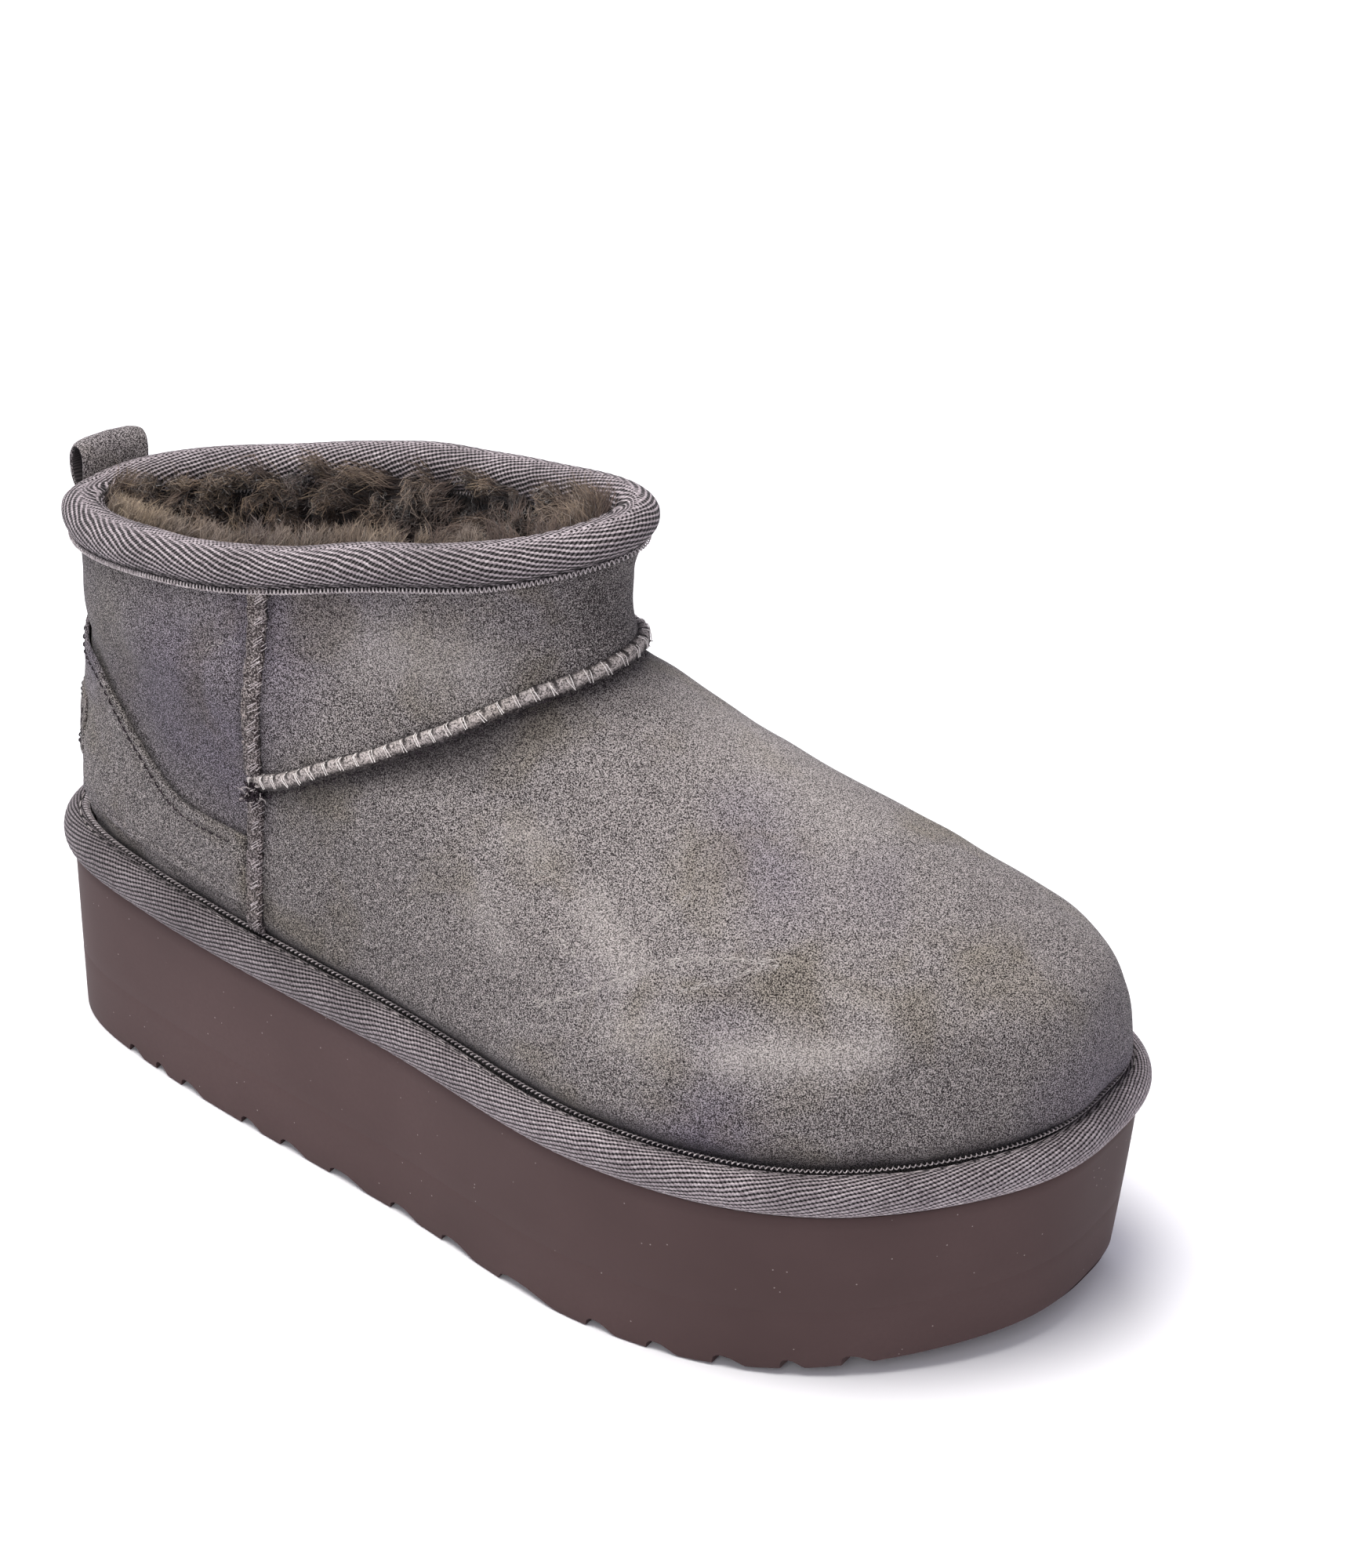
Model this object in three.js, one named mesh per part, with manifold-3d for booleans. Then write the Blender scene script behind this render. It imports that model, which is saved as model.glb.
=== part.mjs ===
// Platform sheepskin ankle boot, right foot, standing empty on its sole.
// Millimetres. +X runs from heel to toe, +Y to the inner side of the foot, +Z up.
// The boot is drawn with the back of its welt at x = 0 and is centred on the origin at the end.
import * as THREE from 'three';
import { mergeVertices } from 'three/addons/utils/BufferGeometryUtils.js';
import Module from 'manifold-3d';

const wasm = await Module();
wasm.setup();

// ---------- driving dimensions ----------
const LENGTH = 280; // over the welt, heel to toe
const BALL_OUT = 65; // half widths over the welt at the ball
const BALL_IN = 54;
const PLATFORM = 46; // height of the platform's top face at the heel
const TOE_LIFT = 3; // how much higher the top face is at the toe tip
const TOE_SPRING = 9.5; // height of the tread's edge above the ground at the toe tip
const HEEL_BEVEL = 0.4; // the same at the back of the heel
const COLLAR_BACK = 136; // height of the upper's rim
const COLLAR_FRONT = 175.5;
const WALL = 9; // sheepskin, hide and fleece together
const RIM_WALL = 5.6; // the same, squeezed by the collar binding
const GAP = 0.3; // between pieces that touch
const RING_POINTS = 64; // round every outline

// ---------- outlines ----------
// An outline is a closed ring, drawn by an angle: 0 at the back, PI at the toe, then back along the inner
// side. Half widths are given at the heel, waist and ball, on the outer and on the inner side, from a middle
// line that bends inward at the heel and at the toe. Past the ball they are shares of that at the ball.
const STATIONS = { heel: 0.15, waist: 0.42, ball: 0.65, toe: 0.85, tip: 1 };
const FOREPART = { out: { toe: 1.085, tip: 0.92 }, in: { toe: 0.96, tip: 1 } };
const WIDEST = 0.45; // where the round ends start

const clamp = (x, low, high) => Math.min(high, Math.max(low, x));
const lerp = (a, b, t) => a + (b - a) * t;

// Smooth curve through the points (xs, ys), by cubic pieces whose slopes are those of their neighbours.
function smooth(xs, ys, x) {
  let i = 0;
  while (i < xs.length - 2 && x > xs[i + 1]) i += 1;
  const slope = (k) => {
    const a = Math.max(k - 1, 0);
    const b = Math.min(k + 1, xs.length - 1);
    return (ys[b] - ys[a]) / (xs[b] - xs[a]);
  };
  const h = xs[i + 1] - xs[i];
  const t = (x - xs[i]) / h;
  const t2 = t * t;
  const t3 = t2 * t;
  return (
    (2 * t3 - 3 * t2 + 1) * ys[i] +
    (t3 - 2 * t2 + t) * h * slope(i) +
    (3 * t2 - 2 * t3) * ys[i + 1] +
    (t3 - t2) * h * slope(i + 1)
  );
}

// Share of the full half width at share t of the length: 1 at WIDEST, 0 at both ends.
function roundEnds(t, heelPower, toePower) {
  const power = t < WIDEST ? heelPower : toePower;
  const share = t < WIDEST ? (WIDEST - t) / WIDEST : (t - WIDEST) / (1 - WIDEST);
  return Math.pow(Math.max(0, 1 - Math.pow(share, power)), 1 / power);
}

// The point of an outline at an angle, as [x, y].
function outlinePoint(o, angle) {
  const side = Math.sin(angle) >= 0 ? 'out' : 'in';
  const t = (1 - Math.cos(angle)) / 2;
  const { heel, waist, ball, toe, tip } = STATIONS;
  const [atHeel, atWaist, atBall] = [o[side + 'Heel'], o[side + 'Waist'], o[side + 'Ball']];
  const widths = [atHeel, atHeel, atWaist, atBall, atBall * FOREPART[side].toe, atBall * FOREPART[side].tip];
  const half = smooth([0, heel, waist, ball, toe, tip], widths, t) * roundEnds(t, o.heelPower, o.toePower);
  const behind = clamp(1 - t / WIDEST, 0, 1);
  const ahead = clamp((t - WIDEST) / (1 - WIDEST), 0, 1);
  const middle = o.heelShift * behind ** 2 + o.toeShift * ahead ** 2;
  return [lerp(o.back, o.front, t), middle + (side === 'out' ? -half : half)];
}

// The outline over the welt, and the same outline taken in all round by an inset.
const WELT = {
  back: 0,
  front: LENGTH,
  outHeel: 38.2,
  outWaist: 48,
  outBall: BALL_OUT,
  inHeel: 38.2,
  inWaist: 40,
  inBall: BALL_IN,
  heelShift: 6,
  toeShift: 13,
  heelPower: 3.4,
  toePower: 2.8,
};

function insetPoint(o, angle, inset) {
  const step = 0.01;
  const [x0, y0] = outlinePoint(o, angle - step);
  const [x1, y1] = outlinePoint(o, angle + step);
  const length = Math.hypot(x1 - x0, y1 - y0);
  const [x, y] = outlinePoint(o, angle);
  return [x - ((y1 - y0) / length) * inset, y + ((x1 - x0) / length) * inset];
}

const topOfSole = (x) => PLATFORM + TOE_LIFT * Math.pow(clamp((x / LENGTH - 0.62) / 0.38, 0, 1), 2);
const underside = (x) =>
  TOE_SPRING * Math.pow(clamp((x / LENGTH - 0.72) / 0.28, 0, 1), 1.5) +
  HEEL_BEVEL * Math.pow(clamp(1 - x / 22, 0, 1), 2);

// ---------- the last: the upper's outer surface ----------
// A row for each level, from just over the featherline to the collar. share says how far up it is; back and
// front are the ring's ends, with their heights above the ground; the rest is as in WELT.
const LEVELS = table(
  ['share', 'back', 'front', 'backZ', 'frontZ', 'outHeel', 'outWaist', 'outBall', 'inHeel', 'inWaist',
    'inBall', 'heelShift', 'toeShift', 'heelPower', 'toePower'],
  [
    [0.0, 5, 275, 46.3, 49.3, 33.5, 43, 60, 33.5, 35, 49, 6, 13, 3.2, 2.8],
    [0.06, 5, 275.4, 53, 56, 33.6, 43.4, 60.4, 33.6, 35.4, 49.4, 6, 13, 3.2, 2.8],
    [0.14, 5, 276, 60.5, 64, 34, 43.4, 60.4, 34, 35.6, 49.4, 6, 13, 3.1, 2.7],
    [0.26, 4.6, 275, 72, 79, 34.5, 42, 57, 34, 35, 47, 6, 12, 2.9, 2.6],
    [0.4, 4.8, 269, 85, 93, 34, 40, 50, 33.5, 34, 42, 6, 10, 2.7, 2.5],
    [0.53, 4.8, 243, 96, 104.5, 33.5, 38, 41, 33, 33.5, 36, 6, 8, 2.5, 2.4],
    [0.66, 4.8, 198, 107, 118, 33, 36, 35, 32.5, 33, 33, 6, 5, 2.4, 2.2],
    [0.77, 4.4, 158.5, 116, 134, 32, 34.5, 32.5, 31.5, 32.5, 32, 5, 2, 2.3, 2.2],
    [0.84, 3.8, 154, 122, 145, 31, 33, 31, 30, 32, 31.5, 5, 1, 2.3, 2.2],
    [0.92, 2.6, 154, 129, 160, 30, 32, 30, 29, 31.5, 30.5, 4, 0.5, 2.2, 2.2],
    [1.0, 1, 156.3, COLLAR_BACK, COLLAR_FRONT, 29.5, 31.5, 29.5, 28, 31.2, 30, 3.5, 0.5, 2.1, 2.2],
  ],
);
const FEATHER = { inset: 8, from: 0.05, to: 0.14 }; // the crease behind the welt, and how far up it reaches

function table(names, rows) {
  return rows.map((row) => Object.fromEntries(names.map((name, i) => [name, row[i]])));
}

function levelAt(share) {
  const shares = LEVELS.map((row) => row.share);
  const made = {};
  for (const name of Object.keys(LEVELS[0])) {
    made[name] = smooth(shares, LEVELS.map((row) => row[name]), share);
  }
  return made;
}

function lastPoint(angle, share) {
  const o = levelAt(share);
  const [x, y] = outlinePoint(o, angle);
  const [creaseX, creaseY] = insetPoint(WELT, angle, FEATHER.inset);
  const out = THREE.MathUtils.smoothstep(share, FEATHER.from, FEATHER.to);
  const onSole = topOfSole(creaseX) + GAP;
  const z = lerp(o.backZ, o.frontZ, clamp((x - o.back) / (o.front - o.back), 0, 1));
  const height = lerp(onSole, z, clamp(share / 0.06, 0, 1));
  return new THREE.Vector3(lerp(creaseX, x, out), lerp(creaseY, y, out), height);
}

// Outward normal of the last, from two short steps along its surface.
function lastNormal(angle, share) {
  const turn = 0.02;
  const rise = 0.01;
  const along = lastPoint(angle + turn, share).sub(lastPoint(angle - turn, share));
  const up = lastPoint(angle, Math.min(share + rise, 1)).sub(lastPoint(angle, Math.max(share - rise, 0)));
  return along.cross(up).normalize();
}

// ---------- meshes from rings and grids ----------
const toGeometry = (points, faces) =>
  new THREE.BufferGeometry()
    .setFromPoints(points)
    .setIndex(faces.flat());

// Joins closed rings of equally many points into one skin; the last ring meets the first.
function ringLoop(rings) {
  const n = rings[0].length;
  const faces = [];
  rings.forEach((ring, j) => {
    const next = (j + 1) % rings.length;
    for (let i = 0; i < n; i += 1) {
      const k = (i + 1) % n;
      faces.push([j * n + i, j * n + k, next * n + k], [j * n + i, next * n + k, next * n + i]);
    }
  });
  return toGeometry(rings.flat(), faces);
}

// Joins closed rings from bottom to top, and closes both ends by strips from the outer to the inner side.
function ringStack(rings) {
  const n = rings[0].length;
  const faces = [];
  for (let j = 0; j < rings.length - 1; j += 1) {
    for (let i = 0; i < n; i += 1) {
      const k = (i + 1) % n;
      faces.push([j * n + i, j * n + k, (j + 1) * n + k], [j * n + i, (j + 1) * n + k, (j + 1) * n + i]);
    }
  }
  const top = (rings.length - 1) * n;
  for (let i = 0; i < n / 2; i += 1) {
    const a = i;
    const b = i + 1;
    const c = (n - i - 1) % n;
    const d = (n - i) % n;
    if (b !== c) {
      faces.push([a, c, b]);
      faces.push([top + a, top + b, top + c]);
    }
    if (a !== d) {
      faces.push([a, d, c]);
      faces.push([top + a, top + c, top + d]);
    }
  }
  return toGeometry(rings.flat(), faces);
}

// Closes the space between two open grids of the same size, front facing the first grid.
function slab(front, back) {
  const rows = front.length;
  const columns = front[0].length;
  const points = [...front.flat(), ...back.flat()];
  const at = (side, j, i) => side * rows * columns + j * columns + i;
  const faces = [];
  const quad = (a, b, c, d) => faces.push([a, b, c], [a, c, d]);
  for (let j = 0; j < rows - 1; j += 1) {
    for (let i = 0; i < columns - 1; i += 1) {
      quad(at(0, j, i), at(0, j, i + 1), at(0, j + 1, i + 1), at(0, j + 1, i));
      quad(at(1, j, i), at(1, j + 1, i), at(1, j + 1, i + 1), at(1, j, i + 1));
    }
    quad(at(0, j, 0), at(0, j + 1, 0), at(1, j + 1, 0), at(1, j, 0));
    quad(at(0, j, columns - 1), at(1, j, columns - 1), at(1, j + 1, columns - 1), at(0, j + 1, columns - 1));
  }
  for (let i = 0; i < columns - 1; i += 1) {
    quad(at(0, 0, i), at(1, 0, i), at(1, 0, i + 1), at(0, 0, i + 1));
    quad(at(0, rows - 1, i), at(0, rows - 1, i + 1), at(1, rows - 1, i + 1), at(1, rows - 1, i));
  }
  return toGeometry(points, faces);
}

const steps = (count) => Array.from({ length: count + 1 }, (_, i) => i / count);
const angles = (count) => Array.from({ length: count }, (_, i) => (2 * Math.PI * i) / count);

function toSolid(geometry) {
  const merged = mergeVertices(geometry.clone().deleteAttribute('normal').deleteAttribute('uv'), 1e-4);
  return new wasm.Manifold(
    new wasm.Mesh({
      numProp: 3,
      vertProperties: merged.attributes.position.array,
      triVerts: new Uint32Array(merged.index.array),
    }),
  );
}

function fromSolid(solid) {
  const { vertProperties, triVerts } = solid.getMesh();
  return new THREE.BufferGeometry()
    .setAttribute('position', new THREE.BufferAttribute(vertProperties, 3))
    .setIndex(new THREE.BufferAttribute(triVerts, 1));
}

// ---------- upper ----------
const UPPER_SHARES = [0, 0.04, 0.07, 0.1, 0.14, 0.19, 0.25, 0.31, 0.37, 0.43, 0.49, 0.55, 0.61, 0.67,
  0.73, 0.79, 0.85, 0.91, 0.96, 1];

// How thick the wall is at a share of its height.
const wallAt = (share) => lerp(WALL, RIM_WALL, THREE.MathUtils.smoothstep(share, 0.72, 0.9));

// Inward from the last by a depth; level at the two rims, so that they stay flat.
function lastInside(angle, share, depth) {
  const normal = lastNormal(angle, share);
  if (share === 0 || share === 1) normal.setZ(0).normalize();
  return lastPoint(angle, share).addScaledVector(normal, -depth);
}

function makeUpper() {
  const ring = (share, depth) => angles(RING_POINTS).map((a) => lastInside(a, share, depth));
  const outside = UPPER_SHARES.map((share) => ring(share, 0));
  const inside = UPPER_SHARES.map((share) => ring(share, wallAt(share)));
  return ringLoop([...outside, ...inside.reverse()]);
}

// ---------- sole ----------
const SOLE_INSET = 2.6; // the welt binding overhangs the sole's wall by this much
const SOLE_TAPER = 1.6; // the wall leans in by this much on its way down
const EDGE = 0.8; // bevel at the wall's foot
const CHANNEL_DEPTH = 2.6;
// The tread's channels: each starts with a steep edge at its heel end and runs out gently toward the toe.
const CHANNELS = table(
  ['from', 'to'],
  [[29, 35], [39, 44], [48, 57], [69, 77], [82, 92], [98, 112], [118, 129], [135, 148], [154, 174],
    [181, 190], [197, 206], [213, 222], [228, 234], [240, 247]],
);

function soleRing(inset, height) {
  return angles(RING_POINTS).map((a) => {
    const [x, y] = insetPoint(WELT, a, inset);
    return new THREE.Vector3(x, y, height(x));
  });
}

// A cutter for one channel, right across the sole.
function channelCutter({ from, to }) {
  const below = -1;
  const run = to - from;
  const arch = new THREE.Shape();
  arch.moveTo(0, below);
  arch.lineTo(run * 0.08, CHANNEL_DEPTH * 0.7);
  arch.quadraticCurveTo(run * 0.3, CHANNEL_DEPTH * 1.3, run * 0.65, CHANNEL_DEPTH * 0.7);
  arch.lineTo(run, 0);
  arch.lineTo(run * 1.05, below);
  const reach = 2 * (BALL_OUT + BALL_IN);
  const cutter = new THREE.ExtrudeGeometry(arch, { depth: reach, bevelEnabled: false, curveSegments: 3 });
  cutter.rotateX(Math.PI / 2);
  cutter.translate(from, reach / 2, underside((from + to) / 2));
  return toSolid(cutter);
}

function makeSole() {
  const rings = [
    soleRing(SOLE_INSET + SOLE_TAPER + EDGE, underside),
    soleRing(SOLE_INSET + SOLE_TAPER, (x) => underside(x) + EDGE),
    soleRing(SOLE_INSET + SOLE_TAPER * 0.5, (x) => lerp(underside(x), topOfSole(x), 0.5)),
    soleRing(SOLE_INSET, topOfSole),
  ];
  const cut = (sole, channel) => sole.subtract(channelCutter(channel));
  return fromSolid(CHANNELS.reduce(cut, toSolid(ringStack(rings))));
}

// ---------- bindings ----------
// The welt binding is a tape rolled round the edge where sole and upper meet.
const WELT_ROLL = { width: 7.4, height: 10.2, sides: 12 };

function makeWelt() {
  const rings = angles(WELT_ROLL.sides).map((turn) => {
    const across = (WELT_ROLL.width / 2) * (1 - Math.cos(turn));
    const lift = (WELT_ROLL.height / 2) * (1 + Math.sin(turn));
    return soleRing(across, (x) => topOfSole(x) + GAP + lift);
  });
  return ringLoop(rings);
}

// The collar binding is a tape folded over the rim. Its section is a staple: across is outward from the
// middle of the rim's wall, up is above the rim.
const TAPE = 1.4;
const DROP = { outside: 7, inside: 6.5 };

function bindingSection() {
  const half = RIM_WALL / 2 + 1.5 * GAP;
  const crown = half + TAPE;
  const arc = steps(6).map((s) => [crown * Math.cos(Math.PI * s), 0.6 * crown * Math.sin(Math.PI * s) - 0.6]);
  return [
    [half + TAPE * 0.6, -DROP.outside],
    ...arc,
    [-half - TAPE * 0.6, -DROP.inside],
    [-half, -DROP.inside],
    [-half, GAP],
    [half, GAP],
    [half, -DROP.outside],
  ];
}

// A point beside the rim. The wall leans, so below the rim it follows the last.
function besideRim(angle, across, up) {
  const rim = lastPoint(angle, 1);
  const below = 0.9;
  const slope = (1 - below) / (rim.z - lastPoint(angle, below).z);
  const wall = lastPoint(angle, 1 + Math.min(up, 0) * slope);
  const outward = lastNormal(angle, 1).setZ(0).normalize();
  const lean = wall.sub(rim).dot(outward);
  return rim.addScaledVector(outward, across - RIM_WALL / 2 + lean).setZ(rim.z + up);
}

function makeCollarBinding() {
  const rings = bindingSection().map(([across, up]) =>
    angles(RING_POINTS).map((a) => besideRim(a, across, up)),
  );
  return ringLoop(rings);
}

// ---------- insole ----------
const INSOLE = { thickness: 7, clearance: 0.8, crown: 1.5 };

function makeInsole() {
  const ring = (inset, lift) =>
    angles(RING_POINTS / 2).map((a) => {
      const [x, y] = insetPoint(WELT, a, FEATHER.inset + WALL + inset);
      return new THREE.Vector3(x, y, topOfSole(x) + lift);
    });
  return ringStack([
    ring(INSOLE.clearance, GAP),
    ring(INSOLE.clearance, INSOLE.thickness - INSOLE.crown),
    ring(INSOLE.clearance + INSOLE.crown, INSOLE.thickness),
  ]);
}

// ---------- overlays on the heel ----------
// They are cut between two larger forms of the last: one just clear of the upper, one a thickness beyond.
const BACK_ANGLE = -0.05; // where the back's middle is, a little to the inner side
const COUNTER = { thickness: 1.4, reach: 1.11, from: 0.16, low: 0.345, shoulder: 0.6, peak: 0.68 };
const LABEL = { thickness: 1, reach: 0.4, from: 0.27, to: 0.44 };

// A patch of the last: across runs from -1 on the inner side to 1 on the outer side, up from 0 to 1.
function heelPatch({ thickness, reach }, shareAt, columns, rows, lift = 0) {
  const sheet = (proud) =>
    steps(rows).map((up) =>
      steps(columns).map((c) => {
        const across = 2 * c - 1;
        const share = shareAt(across, up);
        const angle = BACK_ANGLE + across * reach;
        return lastPoint(angle, share).addScaledVector(lastNormal(angle, share), proud);
      }),
    );
  return slab(sheet(GAP + lift + thickness), sheet(GAP + lift));
}

// The counter's top edge: a peak under the pull loop, a shoulder, then a sweep down to a low end.
function counterTop(across) {
  const away = Math.abs(across);
  const shoulder = lerp(COUNTER.peak, COUNTER.shoulder, THREE.MathUtils.smoothstep(away, 0, 0.4));
  return lerp(shoulder, COUNTER.low, THREE.MathUtils.smoothstep(away, 0.45, 0.85));
}

function makeCounter() {
  return heelPatch(COUNTER, (across, up) => lerp(COUNTER.from, counterTop(across), up), 28, 6);
}

function makeLabel() {
  const lift = GAP + COUNTER.thickness;
  return heelPatch(LABEL, (across, up) => lerp(LABEL.from, LABEL.to, up), 8, 4, lift);
}

// The pull loop is a strap that rises from just over the counter, folds over above the collar and comes down
// again to the binding. out is away from the last, up is above the rim beside it.
const LOOP = { width: 17.5, thickness: 2, angle: -0.3 };
const LOOP_ROUTE = table(
  ['out', 'up'],
  [
    [2.9, -22.5],
    [3.8, -17],
    [5.4, -10],
    [6.6, -4],
    [6.9, 0.5],
    [6.3, 4],
    [4.9, 5.2],
    [3.5, 3.8],
    [3.1, 0],
    [3.1, -5],
  ],
);

function makeLoop() {
  const middle = lastPoint(LOOP.angle, 1);
  const outward = lastNormal(LOOP.angle, 1).setZ(0).normalize();
  const along = new THREE.Vector3(-outward.y, outward.x, 0);
  const route = new THREE.CatmullRomCurve3(
    LOOP_ROUTE.map(({ out, up }) => new THREE.Vector3(out, up, 0)),
  );
  const sheets = [1, -1].map((face) =>
    steps(28).map((s) => {
      const p = route.getPoint(s);
      const ahead = route.getTangent(s);
      const out = p.x + (face * ahead.y * LOOP.thickness) / 2;
      const up = p.y - (face * ahead.x * LOOP.thickness) / 2;
      return [-0.5, 0, 0.5].map((side) =>
        middle.clone()
          .addScaledVector(outward, out)
          .addScaledVector(along, side * LOOP.width)
          .add(new THREE.Vector3(0, 0, up)),
      );
    }),
  );
  return slab(...sheets);
}

const leather = (color) => new THREE.MeshStandardMaterial({ color, roughness: 0.95, metalness: 0 });
const MATERIALS = {
  suede: leather('#6f6b69'),
  tape: leather('#8b8482'),
  foam: new THREE.MeshStandardMaterial({ color: '#574b47', roughness: 0.75, metalness: 0 }),
  fleece: leather('#5d5148'),
};

const boot = new THREE.Group();
const add = (name, geometry, material) => {
  const mesh = new THREE.Mesh(geometry, material);
  mesh.name = name;
  boot.add(mesh);
};
add('sole', makeSole(), MATERIALS.foam);
add('upper', makeUpper(), MATERIALS.suede);
add('welt_binding', makeWelt(), MATERIALS.tape);
add('collar_binding', makeCollarBinding(), MATERIALS.tape);
add('insole', makeInsole(), MATERIALS.fleece);
add('heel_counter', makeCounter(), MATERIALS.suede);
add('heel_label', makeLabel(), MATERIALS.suede);
add('pull_loop', makeLoop(), MATERIALS.suede);

// The origin is under the middle of the boot's box, on the ground.
const box = new THREE.Box3().setFromObject(boot);
const middle = box.getCenter(new THREE.Vector3());
boot.position.set(-middle.x, -middle.y, -box.min.z);

export default boot;
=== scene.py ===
# Right boot: a short sheepskin boot on a thick foam platform, with taped edges and a fleece lining.
import bpy
import bmesh
import math
from functools import partial
import numpy as np
from mathutils import Matrix, Vector
from mathutils.bvhtree import BVHTree


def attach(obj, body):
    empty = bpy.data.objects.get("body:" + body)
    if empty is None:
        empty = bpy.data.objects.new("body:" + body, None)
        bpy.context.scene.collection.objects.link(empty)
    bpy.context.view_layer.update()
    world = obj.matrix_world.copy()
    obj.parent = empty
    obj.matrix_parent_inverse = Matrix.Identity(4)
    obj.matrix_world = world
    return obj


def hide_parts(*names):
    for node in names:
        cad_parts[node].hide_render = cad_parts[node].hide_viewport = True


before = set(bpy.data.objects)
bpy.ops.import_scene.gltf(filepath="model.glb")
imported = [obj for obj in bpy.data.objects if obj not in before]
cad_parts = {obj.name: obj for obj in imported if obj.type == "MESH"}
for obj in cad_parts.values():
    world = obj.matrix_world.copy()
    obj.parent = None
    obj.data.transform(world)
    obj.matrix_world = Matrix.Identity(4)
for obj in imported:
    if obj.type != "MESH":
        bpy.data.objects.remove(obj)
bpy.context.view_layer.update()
print("frame loaded:", len(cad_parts), "nodes")

mm = 0.001
tau = 2 * math.pi


# Camera
view = {
    "target": (0.020514, 0.022401, 0.09777),
    "azimuth": 31.188,  # degrees round the boot from its outer side, towards the toe
    "elevation": 32.012,
    "roll": 1.173,
    "distance": 1.448289,
    "lens": 144.132,
    "film": 36.0,  # height of the film in mm
}


def addCamera(v):
    az, el, roll = (math.radians(v[k]) for k in ("azimuth", "elevation", "roll"))
    back = Vector((math.sin(az) * math.cos(el), -math.cos(az) * math.cos(el), math.sin(el)))
    right = Vector((math.cos(az), math.sin(az), 0))
    up = back.cross(right)
    across = right * math.cos(roll) + up * math.sin(roll)
    above = up * math.cos(roll) - right * math.sin(roll)
    data = bpy.data.cameras.new("camera")
    data.sensor_fit = "VERTICAL"
    data.sensor_height = v["film"]
    data.lens = v["lens"]
    data.clip_end = 20
    camera = bpy.data.objects.new("camera", data)
    turn = Matrix((across, above, back)).transposed().to_4x4()
    camera.matrix_world = Matrix.Translation(Vector(v["target"]) + back * v["distance"]) @ turn
    bpy.context.scene.collection.objects.link(camera)
    bpy.context.scene.camera = camera


addCamera(view)


# The last, in the boot's own sizes
# Millimetres: x from the back of the welt to the toe, y to the inner side, z up. The same tables as the CAD.
last = {
    "shift": (-136.375, 3.563, 0.0),  # from the drawing's corner to the frame's origin
    "length": 280,
    "platform": 46,
    "toeLift": 3,
    "toeSpring": 9.5,
    "heelBevel": 0.4,
    "wall": 9,
    "rimWall": 5.6,
    "gap": 0.3,
    "widest": 0.45,
    "stations": (0, 0.15, 0.42, 0.65, 0.85, 1),
    "forepart": {"out": (1.085, 0.92), "in": (0.96, 1.0)},
    "featherInset": 8,
    "feather": (0.05, 0.14),
}
welt = {"back": 0, "front": 280, "outHeel": 38.2, "outWaist": 48, "outBall": 65, "inHeel": 38.2,
        "inWaist": 40, "inBall": 54, "heelShift": 6, "toeShift": 13, "heelPower": 3.4, "toePower": 2.8}
levelNames = ("share", "back", "front", "backZ", "frontZ", "outHeel", "outWaist", "outBall", "inHeel",
              "inWaist", "inBall", "heelShift", "toeShift", "heelPower", "toePower")
levels = np.array([
    (0.0, 5, 275, 46.3, 49.3, 33.5, 43, 60, 33.5, 35, 49, 6, 13, 3.2, 2.8),
    (0.06, 5, 275.4, 53, 56, 33.6, 43.4, 60.4, 33.6, 35.4, 49.4, 6, 13, 3.2, 2.8),
    (0.14, 5, 276, 60.5, 64, 34, 43.4, 60.4, 34, 35.6, 49.4, 6, 13, 3.1, 2.7),
    (0.26, 4.6, 275, 72, 79, 34.5, 42, 57, 34, 35, 47, 6, 12, 2.9, 2.6),
    (0.4, 4.8, 269, 85, 93, 34, 40, 50, 33.5, 34, 42, 6, 10, 2.7, 2.5),
    (0.53, 4.8, 243, 96, 104.5, 33.5, 38, 41, 33, 33.5, 36, 6, 8, 2.5, 2.4),
    (0.66, 4.8, 198, 107, 118, 33, 36, 35, 32.5, 33, 33, 6, 5, 2.4, 2.2),
    (0.77, 4.4, 158.5, 116, 134, 32, 34.5, 32.5, 31.5, 32.5, 32, 5, 2, 2.3, 2.2),
    (0.84, 3.8, 154, 122, 145, 31, 33, 31, 30, 32, 31.5, 5, 1, 2.3, 2.2),
    (0.92, 2.6, 154, 129, 160, 30, 32, 30, 29, 31.5, 30.5, 4, 0.5, 2.2, 2.2),
    (1.0, 1, 156.3, 136, 175.5, 29.5, 31.5, 29.5, 28, 31.2, 30, 3.5, 0.5, 2.1, 2.2),
])


def smoothCurve(xs, ys, x):  # cubic pieces whose slopes are those of their neighbours
    x = np.asarray(x, float)
    xs = np.asarray(xs, float)
    ys = np.array([np.broadcast_to(y, x.shape) for y in ys], float)
    top = len(xs) - 1
    k = np.arange(len(xs))
    before, after = np.maximum(k - 1, 0), np.minimum(k + 1, top)
    run = (xs[after] - xs[before]).reshape(-1, *[1] * x.ndim)
    slopes = (ys[after] - ys[before]) / run
    i = np.clip(np.searchsorted(xs, x, side="left") - 1, 0, top - 1)
    pick = lambda rows, at: np.take_along_axis(rows, at[None], 0)[0]
    h = xs[i + 1] - xs[i]
    t = (x - xs[i]) / h
    t2, t3 = t * t, t * t * t
    return ((2 * t3 - 3 * t2 + 1) * pick(ys, i) + (t3 - 2 * t2 + t) * h * pick(slopes, i)
            + (3 * t2 - 2 * t3) * pick(ys, i + 1) + (t3 - t2) * h * pick(slopes, i + 1))


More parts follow.
